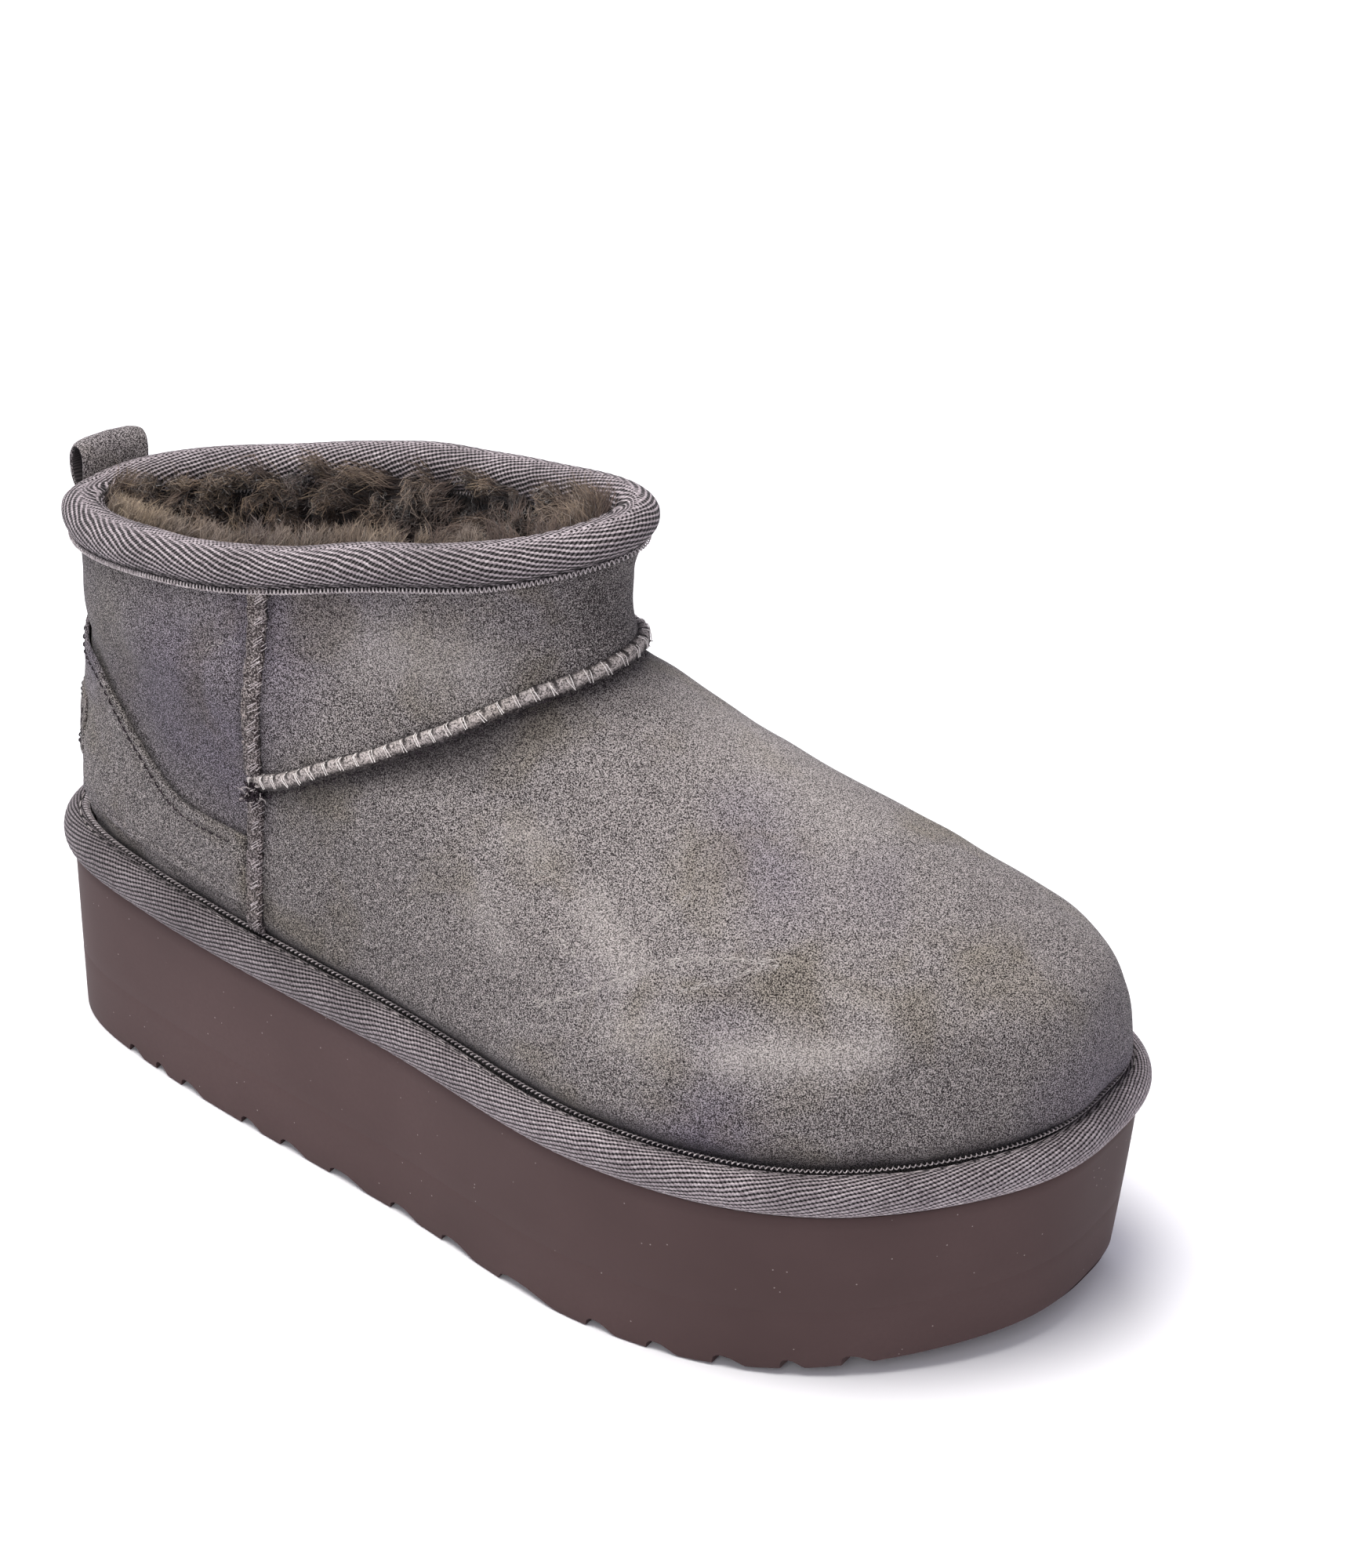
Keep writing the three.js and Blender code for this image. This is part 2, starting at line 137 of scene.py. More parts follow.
def smoothStep(x, low, high):
    t = np.clip((x - low) / (high - low), 0, 1)
    return t * t * (3 - 2 * t)


def roundEnds(t, heelPower, toePower):
    power = np.where(t < last["widest"], heelPower, toePower)
    share = np.where(t < last["widest"], (last["widest"] - t) / last["widest"],
                     (t - last["widest"]) / (1 - last["widest"]))
    return np.maximum(0, 1 - np.clip(share, 0, 1) ** power) ** (1 / power)


def outlinePoint(o, angle):
    angle = np.asarray(angle, float)
    outer = np.sin(angle) >= 0
    t = (1 - np.cos(angle)) / 2
    half = {}
    for side in ("out", "in"):
        toe, tip = last["forepart"][side]
        heel, waist, ball = o[side + "Heel"], o[side + "Waist"], o[side + "Ball"]
        half[side] = smoothCurve(last["stations"], (heel, heel, waist, ball, ball * toe, ball * tip), t)
    width = np.where(outer, half["out"], half["in"]) * roundEnds(t, o["heelPower"], o["toePower"])
    behind = np.clip(1 - t / last["widest"], 0, 1)
    ahead = np.clip((t - last["widest"]) / (1 - last["widest"]), 0, 1)
    middle = o["heelShift"] * behind ** 2 + o["toeShift"] * ahead ** 2
    return o["back"] + (o["front"] - o["back"]) * t, middle + np.where(outer, -width, width)


def insetPoint(o, angle, inset):
    x0, y0 = outlinePoint(o, angle - 0.01)
    x1, y1 = outlinePoint(o, angle + 0.01)
    run = np.hypot(x1 - x0, y1 - y0)
    x, y = outlinePoint(o, angle)
    return x - (y1 - y0) / run * inset, y + (x1 - x0) / run * inset


def topOfSole(x):
    return last["platform"] + last["toeLift"] * np.clip((x / last["length"] - 0.62) / 0.38, 0, 1) ** 2


def underside(x):
    return (last["toeSpring"] * np.clip((x / last["length"] - 0.72) / 0.28, 0, 1) ** 1.5
            + last["heelBevel"] * np.clip(1 - x / 22, 0, 1) ** 2)


def lastPoint(angle, share):  # on the upper's outer surface; share runs from the sole, 0, to the rim, 1
    angle, share = np.broadcast_arrays(np.asarray(angle, float), np.asarray(share, float))
    o = {name: smoothCurve(levels[:, 0], levels[:, i], share) for i, name in enumerate(levelNames)}
    x, y = outlinePoint(o, angle)
    creaseX, creaseY = insetPoint(welt, angle, last["featherInset"])
    out = smoothStep(share, *last["feather"])
    onSole = topOfSole(creaseX) + last["gap"]
    z = o["backZ"] + (o["frontZ"] - o["backZ"]) * np.clip((x - o["back"]) / (o["front"] - o["back"]), 0, 1)
    z = onSole + (z - onSole) * np.clip(share / 0.06, 0, 1)
    return np.stack([creaseX + (x - creaseX) * out, creaseY + (y - creaseY) * out, z], -1)


def unit(v):
    return v / np.maximum(np.linalg.norm(v, axis=-1, keepdims=True), 1e-12)


def lastNormal(angle, share):
    along = lastPoint(angle + 0.02, share) - lastPoint(angle - 0.02, share)
    up = lastPoint(angle, np.minimum(share + 0.01, 1)) - lastPoint(angle, np.maximum(share - 0.01, 0))
    return unit(np.cross(along, up))


def flat(v):  # the same direction, kept level
    v = np.array(v)
    v[..., 2] = 0
    return unit(v)


def wallPoint(angle, share, depth):  # inward from the last by a depth in mm
    normal = lastNormal(angle, share)
    ends = (share <= 0) | (share >= 1)
    normal = np.where(np.asarray(ends)[..., None], flat(normal), normal)
    return lastPoint(angle, share) - normal * np.asarray(depth)[..., None]


def waves(points, size, seed, count=28):  # smooth noise from about -1 to 1, whose lumps are size mm across
    rng = np.random.default_rng(seed)
    k = unit(rng.normal(size=(count, 3))) * (tau / (2 * size)) * rng.uniform(0.6, 1.5, (count, 1))
    phase = rng.uniform(0, tau, count)
    total = np.zeros(points.shape[:-1])
    for n in range(count):
        total += np.cos(points @ k[n] + phase[n])
    return total / math.sqrt(count) / 1.2


# Making meshes
def finishPiece(piece, material, replaced=()):
    bpy.context.scene.collection.objects.link(piece)
    piece.data.materials.clear()
    piece.data.materials.append(material)
    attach(piece, "root")
    if replaced:
        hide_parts(*replaced)
    piece.data.calc_loop_triangles()
    print(piece.name, "made,", len(piece.data.loop_triangles), "triangles")
    return piece


def gridMesh(name, columns, rows, place, size=(1, 1), marks=None, crease=180):
    # A grid laid over a surface: place(u, v) gives its points in mm. Edges that meet are merged.
    bm = bmesh.new()
    bm.loops.layers.uv.new("UVMap")
    bmesh.ops.create_grid(bm, x_segments=columns, y_segments=rows, size=0.5, calc_uvs=True)
    mesh = bpy.data.meshes.new(name)
    bm.to_mesh(mesh)
    co = np.empty(len(mesh.vertices) * 3)
    mesh.vertices.foreach_get("co", co)
    u, v = (co.reshape(-1, 3)[:, :2] + 0.5).T
    points = (place(u, v) + np.array(last["shift"])) * mm
    mesh.vertices.foreach_set("co", points.ravel())
    uv = np.empty(len(mesh.loops) * 2)
    mesh.uv_layers[0].data.foreach_get("uv", uv)
    uv = uv.reshape(-1, 2) * np.array(size)
    mesh.uv_layers[0].data.foreach_set("uv", uv.ravel())
    for mark, values in (marks(u, v) if marks else {}).items():
        mesh.attributes.new(mark, "FLOAT", "POINT").data.foreach_set("value", values.astype(np.float32))
    bm.clear()
    bm.from_mesh(mesh)
    bmesh.ops.remove_doubles(bm, verts=bm.verts, dist=0.002 * mm)
    bmesh.ops.dissolve_degenerate(bm, edges=bm.edges, dist=0.001 * mm)
    bmesh.ops.recalc_face_normals(bm, faces=bm.faces)
    for face in bm.faces:
        face.smooth = True
    bm.to_mesh(mesh)
    bm.free()
    if crease < 180:
        mesh.set_sharp_from_angle(angle=math.radians(crease))
    return bpy.data.objects.new(name, mesh)


def threadMesh(name, paths, radius, closed=False):  # round threads along paths of points in mm
    curve = bpy.data.curves.new(name, "CURVE")
    curve.dimensions = "3D"
    curve.bevel_depth = radius * mm
    curve.bevel_resolution = 0
    curve.use_fill_caps = True
    for path in paths:
        spline = curve.splines.new("POLY")
        spline.points.add(len(path) - 1)
        co = np.ones((len(path), 4))
        co[:, :3] = (np.asarray(path) + np.array(last["shift"])) * mm
        spline.points.foreach_set("co", co.ravel())
        spline.use_cyclic_u = closed
    holder = bpy.data.objects.new(name + "Curve", curve)
    mesh = bpy.data.meshes.new_from_object(holder)
    mesh.name = name
    bpy.data.objects.remove(holder)
    bpy.data.curves.remove(curve)
    for polygon in mesh.polygons:
        polygon.use_smooth = True
    return bpy.data.objects.new(name, mesh)


def joinPieces(name, pieces):
    bm = bmesh.new()
    for piece in pieces:
        bm.from_mesh(piece.data)
        bpy.data.objects.remove(piece)
    mesh = bpy.data.meshes.new(name)
    bm.to_mesh(mesh)
    bm.free()
    return bpy.data.objects.new(name, mesh)


def frameAlong(points, normals):  # tangents, normals and sides of a path on a surface
    tangents = unit(np.gradient(points, axis=0))
    sides = unit(np.cross(normals, tangents))
    return tangents, unit(np.cross(tangents, sides)), sides


def lengthsAlong(points):
    return np.concatenate([[0], np.cumsum(np.linalg.norm(np.diff(points, axis=0), axis=1))])


# Materials
def colour(hexCode):  # an sRGB hex colour as linear light
    parts = [int(hexCode[i:i + 2], 16) / 255 for i in (1, 3, 5)]
    return (*[c / 12.92 if c <= 0.04045 else ((c + 0.055) / 1.055) ** 2.4 for c in parts], 1)


def addNode(tree, kind, inputs, output=0, **settings):
    # A node with its settings; inputs are values or other nodes' outputs, by socket name or number.
    made = tree.nodes.new("ShaderNode" + kind)
    for key, value in settings.items():
        setattr(made, key, value)
    for key, value in inputs.items():
        if isinstance(value, bpy.types.NodeSocket):
            tree.links.new(value, made.inputs[key])
        else:
            made.inputs[key].default_value = value
    return made.outputs[output] if made.outputs else None


def startMaterial(name):
    material = bpy.data.materials.new(name)
    material.use_nodes = True
    material.node_tree.nodes.clear()
    return material, partial(addNode, material.node_tree)


def lumps(size):  # the scale of a noise texture whose lumps are size mm across
    return 1 / (size * mm) / 2


# a Mix node for colours has its factor at socket 0 and its colours at 6 and 7
rgb = {"output": 2, "data_type": "RGBA"}
tinted = {**rgb, "blend_type": "MULTIPLY"}


# Suede: the flesh side of sheepskin, buffed to a short nap. Matt, with a sharp speckle where fibre tips catch
# the light, and soft patches where the nap lies another way.
suedeLook = {
    "dark": "#1f1b1c",
    "light": "#a8a19f",
    "violet": "#dfdcf0",
    "olive": "#e6e3d4",
    # the dark of dirt and of painted shade
    "dirt": "#1d191a",
    # the pale of rubbed nap and of painted highlights
    "rubbedAndLit": "#cbc4bf",
    "grain": 0.15,  # mm, tips of the nap: the real ones are finer, and this is as coarse as they need to show
    "nap": 0.6,
    "patch": 13,
    "cloud": 42,
    "level": 0.295,  # how pale the whole is
}


def suede(name, look, seed=0.0):
    material, add = startMaterial(name)
    at = add("Mapping", {"Vector": add("TexCoord", {}, "Object"), "Location": (seed, seed * 0.7, seed * 0.3)})
    grain = add("TexNoise", {"Vector": at, "Scale": lumps(look["grain"]), "Detail": 3, "Roughness": 0.75})
    nap = add("TexNoise", {"Vector": at, "Scale": lumps(look["nap"]), "Detail": 3, "Roughness": 0.65,
                           "Distortion": 0.6})
    patch = add("TexNoise", {"Vector": at, "Scale": lumps(look["patch"]), "Detail": 3, "Roughness": 0.55,
                             "Distortion": 0.4})
    cloud = add("TexNoise", {"Vector": at, "Scale": lumps(look["cloud"])})
    # this attribute holds painted light and shade: paler where the skin faces up, darker where it faces down
    # and in painted shade
    tone = add("Attribute", {}, "Fac", attribute_name="tone")
    paleness = add("Math", {0: tone, 1: look["level"]}, operation="ADD")
    for part, low, high, most in ((grain, 0.35, 0.65, 1.45), (nap, 0.3, 0.7, 0.13), (patch, 0.3, 0.7, 0.045),
                                  (cloud, 0.35, 0.65, 0.04)):
        spread = add("MapRange", {0: part, 1: low, 2: high, 3: -most, 4: most})
        paleness = add("Math", {0: paleness, 1: spread}, operation="ADD")
    paleness = add("MapRange", {0: paleness})
    base = add("Mix", {0: paleness, 6: colour(look["dark"]), 7: colour(look["light"])}, **rgb)
    for part, high, most, tint in ((cloud, 0.64, 1.0, "violet"), (patch, 0.66, 0.8, "olive")):
        much = add("MapRange", {0: part, 1: 0.5, 2: high, 4: most})
        base = add("Mix", {0: much, 6: base, 7: colour(look[tint])}, **tinted)
    onTips = add("MapRange", {0: grain, 1: 0.35, 2: 0.6, 3: 0.1})
    # this attribute holds rubbed nap and painted highlights
    rub = add("Math", {0: add("Attribute", {}, "Fac", attribute_name="rub"), 1: onTips}, operation="MULTIPLY")
    base = add("Mix", {0: rub, 6: base, 7: colour(look["rubbedAndLit"])}, **rgb)
    # this attribute holds dirt and painted shade: above the welt, under seams, under the collar and along the
    # counter
    dirt = add("Attribute", {}, "Fac", attribute_name="dirt")
    base = add("Mix", {0: dirt, 6: base, 7: colour(look["dirt"])}, **rgb)
    soft = add("Bump", {"Height": nap, "Strength": 0.4, "Distance": 0.5 * mm})
    normal = add("Bump", {"Height": grain, "Strength": 0.7, "Distance": 0.25 * mm, "Normal": soft})
    add("OutputMaterial", {0: add("BsdfPrincipled", {
        "Base Color": base, "Normal": normal, "Roughness": 0.95, "IOR": 1.4, "Specular IOR Level": 0.1,
        "Sheen Weight": 0.08, "Sheen Roughness": 0.5})})
    return material


# Twill binding tape: cotton yarn woven on a narrow loom. Raised diagonal ribs of slanted floats, with dark
# dashes of painted shade between them where the next yarn dives under, and painted shade between the floats.
tapeLook = {
    "rib": 1.22,  # mm from rib to rib
    "bead": 1.0,  # mm from float to float along a rib
    "slope": 18,  # degrees from the tape's own direction
    "dark": 0.34,  # how far from a rib's middle the groove starts, as a share
    # near black: painted shade between the ribs
    "groove": "#080606",
    "shade": "#433b3e",
    "yarn": "#7c7276",
    "tip": "#bfb5b8",
}


def ribSizes(length, look):
    # The rib and float spacing nearest to the look's that close up round a ring of this length, in mm.
    lean = math.radians(look["slope"])
    ribs = round(length * math.sin(lean) / look["rib"])
    floats = round(length * math.cos(lean) / look["bead"])
    return lean, length * math.sin(lean) / ribs, length * math.cos(lean) / floats


def triangleWave(add, value):  # 0 in the middle of each unit, 1 at its ends
    part = add("Math", {0: add("Math", {0: value}, operation="FRACT"), 1: 0.5}, operation="SUBTRACT")
    return add("Math", {0: add("Math", {0: part}, operation="ABSOLUTE"), 1: 2.0}, operation="MULTIPLY")


def twillTape(name, look, sizes, crown):
    lean, rib, bead = sizes[0], sizes[1] * mm, sizes[2] * mm
    material, add = startMaterial(name)
    along = add("SeparateXYZ", {0: add("UVMap", {}, uv_map="UVMap")})
    fromCrown = add("Math", {0: along.node.outputs[1], 1: crown * mm}, operation="SUBTRACT")
    across = add("Math", {0: fromCrown}, operation="ABSOLUTE")
    at = add("TexCoord", {}, "Object")
    wobble = add("TexNoise", {"Vector": at, "Scale": lumps(3.0), "Detail": 1})
    phase = add("Math", {0: add("Math", {0: across, 1: math.cos(lean) / rib}, operation="MULTIPLY"),
                         1: add("Math", {0: along, 1: math.sin(lean) / rib}, operation="MULTIPLY")},
                operation="SUBTRACT")
    for pull in (add("MapRange", {0: wobble, 1: 0.3, 2: 0.7, 3: -0.15, 4: 0.15}),
                 add("Attribute", {}, "Fac", attribute_name="warp")):
        phase = add("Math", {0: phase, 1: pull}, operation="ADD")
    groove = triangleWave(add, phase)
    steps = add("Math", {0: add("Math", {0: along, 1: math.cos(lean) / bead}, operation="MULTIPLY"),
                         1: add("Math", {0: across, 1: math.sin(lean) / bead}, operation="MULTIPLY")},
                operation="ADD")
    stagger = add("Math", {0: phase, 1: 0.55}, operation="MULTIPLY")
    floats = triangleWave(add, add("Math", {0: steps, 1: stagger}, operation="ADD"))
    fuzz = add("TexNoise", {"Vector": at, "Scale": lumps(0.35), "Roughness": 0.7})
    tint = add("TexNoise", {"Vector": at, "Scale": lumps(9.0)})
    onTips = add("MapRange", {0: fuzz, 1: 0.35, 2: 0.65})
    yarn = add("Mix", {0: onTips, 6: colour(look["yarn"]), 7: colour(look["tip"])}, **rgb)
    for part, low, high in ((tint, 0.35, 0.7), (floats, 0.55, 0.95)):
        much = add("MapRange", {0: part, 1: low, 2: high, 4: 0.35})
        yarn = add("Mix", {0: much, 6: yarn, 7: colour(look["shade"])}, **rgb)
    # the dark between ribs is scalloped by the floats, and at the crown broken up by them
    nearCrown = add("MapRange", {0: across, 1: 0.3 * mm, 2: 1.8 * mm, 3: 0.8, 4: 0.2})
    between = add("MapRange", {0: floats, 1: 0.4, 2: 0.7, 3: 1.0, 4: 0.0})
    broken = add("Math", {0: nearCrown, 1: between}, operation="MULTIPLY")
    gate = add("Math", {0: 1.0, 1: broken}, operation="SUBTRACT")
    scallop = add("Math", {0: groove, 1: add("MapRange", {0: floats, 3: -0.1, 4: 0.1})}, operation="ADD")
    deep = add("MapRange", {0: scallop, 1: look["dark"], 2: look["dark"] + 0.18})
    # painted shade: between the ribs, and wherever the gap attribute puts it
    for part in (add("Math", {0: deep, 1: gate}, operation="MULTIPLY"),
                 add("Attribute", {}, "Fac", attribute_name="gap")):
        yarn = add("Mix", {0: part, 6: yarn, 7: colour(look["groove"])}, **rgb)
    rise = add("MapRange", {0: groove, 1: 0.2, 2: 0.9, 3: 1.0, 4: 0.0})
    dip = add("Math", {0: add("MapRange", {0: floats, 1: 0.5}), 1: 0.3}, operation="MULTIPLY")
    height = add("Math", {0: rise, 1: dip}, operation="SUBTRACT")
    woven = add("Bump", {"Height": height, "Strength": 0.8, "Distance": 0.3 * mm})
    normal = add("Bump", {"Height": fuzz, "Strength": 0.3, "Distance": 0.1 * mm, "Normal": woven})
    add("OutputMaterial", {0: add("BsdfPrincipled", {
        "Base Color": yarn, "Normal": normal, "Roughness": 0.85, "IOR": 1.45, "Specular IOR Level": 0.2,
        "Sheen Weight": 0.05})})
    return material


# Sewing thread and overlocked yarn: spun polyester, slightly fuzzy, paler than what it holds.
def spunThread(name, hexCode, darker, shine=1.0):
    material, add = startMaterial(name)
    fuzz = add("TexNoise", {"Vector": add("TexCoord", {}, "Object"), "Scale": lumps(0.4), "Roughness": 0.6})
    onTips = add("MapRange", {0: fuzz, 1: 0.35, 2: 0.65})
    add("OutputMaterial", {0: add("BsdfPrincipled", {
        "Base Color": add("Mix", {0: onTips, 6: colour(darker), 7: colour(hexCode)}, **rgb),
        "Normal": add("Bump", {"Height": fuzz, "Strength": 0.4, "Distance": 0.1 * mm}),
        "Roughness": 0.7, "IOR": 1.5, "Specular IOR Level": 0.5 * shine, "Sheen Weight": 0.2 * shine})})
    return material


# EVA foam: ground, coloured through and moulded hot, so its skin is matt and even with pale dust in it.
foamLook = {
    "colour": "#4f3d3c",
    "shade": "#443332",
    "speck": "#b9aca8",
    "grain": 0.5,  # mm
    "cloud": 30,
    "dust": 3.2,  # mm between specks
}


def evaFoam(name, look):
    material, add = startMaterial(name)
    at = add("TexCoord", {}, "Object")
    cloud = add("TexNoise", {"Vector": at, "Scale": lumps(look["cloud"]), "Detail": 3})
    grain = add("TexNoise", {"Vector": at, "Scale": lumps(look["grain"]), "Roughness": 0.6})
    much = add("MapRange", {0: cloud, 1: 0.35, 2: 0.7})
    base = add("Mix", {0: much, 6: colour(look["colour"]), 7: colour(look["shade"])}, **rgb)
    much = add("MapRange", {0: grain, 1: 0.35, 2: 0.65, 4: 0.22})
    base = add("Mix", {0: much, 6: base, 7: colour(look["shade"])}, **rgb)
    cells = add("TexVoronoi", {"Vector": at, "Scale": 1 / (look["dust"] * mm)}, "Distance")
    speck = add("Math", {0: cells, 1: 0.055}, operation="LESS_THAN")
    chance = add("SeparateXYZ", {0: cells.node.outputs["Color"]})
    few = add("Math", {0: chance, 1: 0.4}, operation="GREATER_THAN")
    shown = add("Math", {0: speck, 1: few}, operation="MULTIPLY")
    shown = add("Math", {0: shown, 1: 0.45}, operation="MULTIPLY")
    base = add("Mix", {0: shown, 6: base, 7: colour(look["speck"])}, **rgb)
    add("OutputMaterial", {0: add("BsdfPrincipled", {
        "Base Color": base, "Normal": add("Bump", {"Height": grain, "Strength": 0.15, "Distance": 0.1 * mm}),
        "Roughness": 0.68, "IOR": 1.48, "Specular IOR Level": 0.22})})
    return material


# Fleece: the wool left on the skin, dyed with it. Dark at the roots, partly painted shade deep in the pile,
# sun-bleached tan at the tips.
fleeceLook = {"root": "#171110", "mid": "#4a3d38", "tip": "#a38e76", "grey": "#7d726c", "warm": "#6b5140"}
fringeLook = {"root": "#2a211e", "mid": "#63564c", "tip": "#b5a48d", "grey": "#8f847c", "warm": "#84705a"}


def fleece(name, look, strands):
    material, add = startMaterial(name)
    at = add("TexCoord", {}, "Object")
    tuft = add("TexNoise", {"Vector": at, "Scale": lumps(6.0)})
    area = add("TexNoise", {"Vector": at, "Scale": lumps(22.0), "Detail": 1})
    much = add("MapRange", {0: area, 1: 0.4, 2: 0.62})
    tip = add("Mix", {0: much, 6: colour(look["tip"]), 7: colour(look["grey"])}, **rgb)
    much = add("MapRange", {0: tuft, 1: 0.45, 2: 0.7, 4: 0.6})
    tip = add("Mix", {0: much, 6: tip, 7: colour(look["warm"])}, **rgb)
    shader = {"Roughness": 0.8, "IOR": 1.45, "Specular IOR Level": 0.25, "Sheen Weight": 0.3}
    if strands:
        reach = add("Attribute", {}, "Fac", attribute_name="reach")
        shade = add("Attribute", {}, "Fac", attribute_name="shade")
        up = add("MapRange", {0: reach, 2: 0.5})
        pale = add("Math", {0: add("MapRange", {0: reach, 1: 0.3}), 1: shade}, operation="MULTIPLY")
    else:
        # painted shade: the mat is paler on the crowns of its lumps and darker in their hollows
        crown = add("Attribute", {}, "Fac", attribute_name="crown")
        up = add("MapRange", {0: crown, 1: 0.1, 2: 0.75})
        pale = add("MapRange", {0: crown, 1: 0.55, 4: 0.55})
        fine = add("TexNoise", {"Vector": at, "Scale": lumps(0.5), "Detail": 3, "Roughness": 0.7,
                                "Distortion": 1.5})
        shader["Normal"] = add("Bump", {"Height": fine, "Strength": 0.9, "Distance": 0.8 * mm})
    base = add("Mix", {0: up, 6: colour(look["root"]), 7: colour(look["mid"])}, **rgb)
    shader["Base Color"] = add("Mix", {0: pale, 6: base, 7: tip}, **rgb)
    add("OutputMaterial", {0: add("BsdfPrincipled", shader)})
    return material


trimLook = {**suedeLook, "patch": 9, "cloud": 26, "level": 0.18}
rawEdgeLook = {**suedeLook, "dark": "#241d1e", "light": "#a39997", "grain": 0.22, "nap": 1.0, "level": 0.32}
upperSuede = suede("buffedSuedeUpper", suedeLook)
trimSuede = suede("buffedSuedeTrim", trimLook, 0.31)
seamSuede = suede("rawSuedeEdge", rawEdgeLook, 0.53)
paleThread = spunThread("spunThreadPale", "#f0ebe8", "#b9b1ae")
greyThread = spunThread("spunThreadGrey", "#b5acab", "#5b5354")
raisedNap = spunThread("raisedSuedeNap", "#cdc7c2", "#a19a96")
darkThread = spunThread("spunThreadDark", "#3a3238", "#0f0b0d", 0.1)
selvedgeYarn = spunThread("selvedgeYarn", "#d2c9c9", "#857b7d")
foam = evaFoam("evaFoamMoulded", foamLook)
woolBase = fleece("dyedFleeceRoots", fleeceLook, False)
woolStrand = fleece("dyedFleeceLocks", fleeceLook, True)
woolFringe = fleece("paleFleeceLocks", fringeLook, True)
print("materials made")


# Upper
seams = {
    "sideX": 75.5,  # where the side seams run, from the back of the welt
    "vamp": ((1.145, 0.523), (1.23, 0.5545), (1.491, 0.639), (1.8, 0.702), (2.088, 0.7436),
             (2.379, 0.7763), (2.598, 0.796), (2.953, 0.8139), (math.pi, 0.817)),  # angle, share
}


def sideAngle(share, outer=True):  # the angle at which a level of the last crosses the side seam
    back = smoothCurve(levels[:, 0], levels[:, 1], share)
    front = smoothCurve(levels[:, 0], levels[:, 2], share)
    angle = np.arccos(1 - 2 * (seams["sideX"] - back) / (front - back))
    return angle if outer else tau - angle


def vampShare(angle):  # the vamp seam's share of the height at an angle; the same on both sides
    angle = np.asarray(angle, float)
    near = np.where(angle > math.pi, tau - angle, angle)
    return smoothCurve([a for a, _ in seams["vamp"]], [s for _, s in seams["vamp"]], near)


counter = {
    "back": -0.05,  # angle of its middle
    "reach": 1.11,  # how far round each end is from it
    "inner": 0.92,  # the inner end's, as a share of that
    "thickness": 1.1,  # mm
    "from": 0.16,  # shares of the height: its foot, then its top at the ends, the shoulders and the middle
    "low": 0.345,
    "shoulder": 0.6,
    "peak": 0.68,
}


def patchAngle(look, across):  # across runs from -1, the inner end, to 1; the inner half may be shorter
    return look["back"] + across * look["reach"] * np.where(np.asarray(across) < 0, look.get("inner", 1), 1)


def counterTop(across):
    away = np.abs(across)
    shoulder = counter["peak"] + (counter["shoulder"] - counter["peak"]) * smoothStep(away, 0, 0.4)
    return shoulder + (counter["low"] - shoulder) * smoothStep(away, 0.45, 0.85)


# Soft troughs and ridges: depth and width in mm, then a path of angles and shares.
vampLine = [(a, vampShare(a)) for a in np.linspace(1.16, tau - 1.16, 40)]
folds = [
    (-0.7, 4.5, [(a, s - 0.028) for a, s in vampLine]),
    (-0.9, 8.0, [(a, s + 0.06) for a, s in vampLine[8:-8]]),
    (-0.5, 4.0, [(a, 0.925) for a in np.linspace(0, tau, 60)]),
    (-0.5, 4.0, [(patchAngle(counter, c), counterTop(c) + 0.03) for c in np.linspace(-1, 1, 40)]),
    (0.5, 9.0, [(1.0, 0.75), (1.25, 0.72), (1.6, 0.78)]),
    (-0.8, 12.0, [(2.15, 0.5), (2.35, 0.36), (2.6, 0.28)]),
    (0.6, 14.0, [(1.9, 0.42), (2.1, 0.3), (2.3, 0.2)]),
    (-0.5, 10.0, [(1.5, 0.5), (1.62, 0.34), (1.7, 0.2)]),
    (-0.7, 11.0, [(4.1, 0.5), (3.9, 0.36), (3.7, 0.26)]),
    (0.5, 12.0, [(4.6, 0.4), (4.4, 0.28)]),
    (-0.5, 9.0, [(0.5, 0.86), (0.75, 0.78), (0.85, 0.66)]),
    (-0.5, 9.0, [(5.6, 0.84), (5.4, 0.74)]),
]


def distanceTo(points, path):
    best = np.full(len(points), 1e9)
    for a, b in zip(path[:-1], path[1:]):
        run = b - a
        t = np.clip((points - a) @ run / max(run @ run, 1e-9), 0, 1)
        best = np.minimum(best, np.linalg.norm(points - a - t[:, None] * run, axis=1))
    return best


def onLast(path):
    path = np.array(path, float)
    return lastPoint(path[:, 0], path[:, 1])


def foldDepth(points):
    total = np.zeros(len(points))
    for depth, width, path in folds:
        total += depth * np.exp(-(distanceTo(points, onLast(path)) / width) ** 2)
    return total


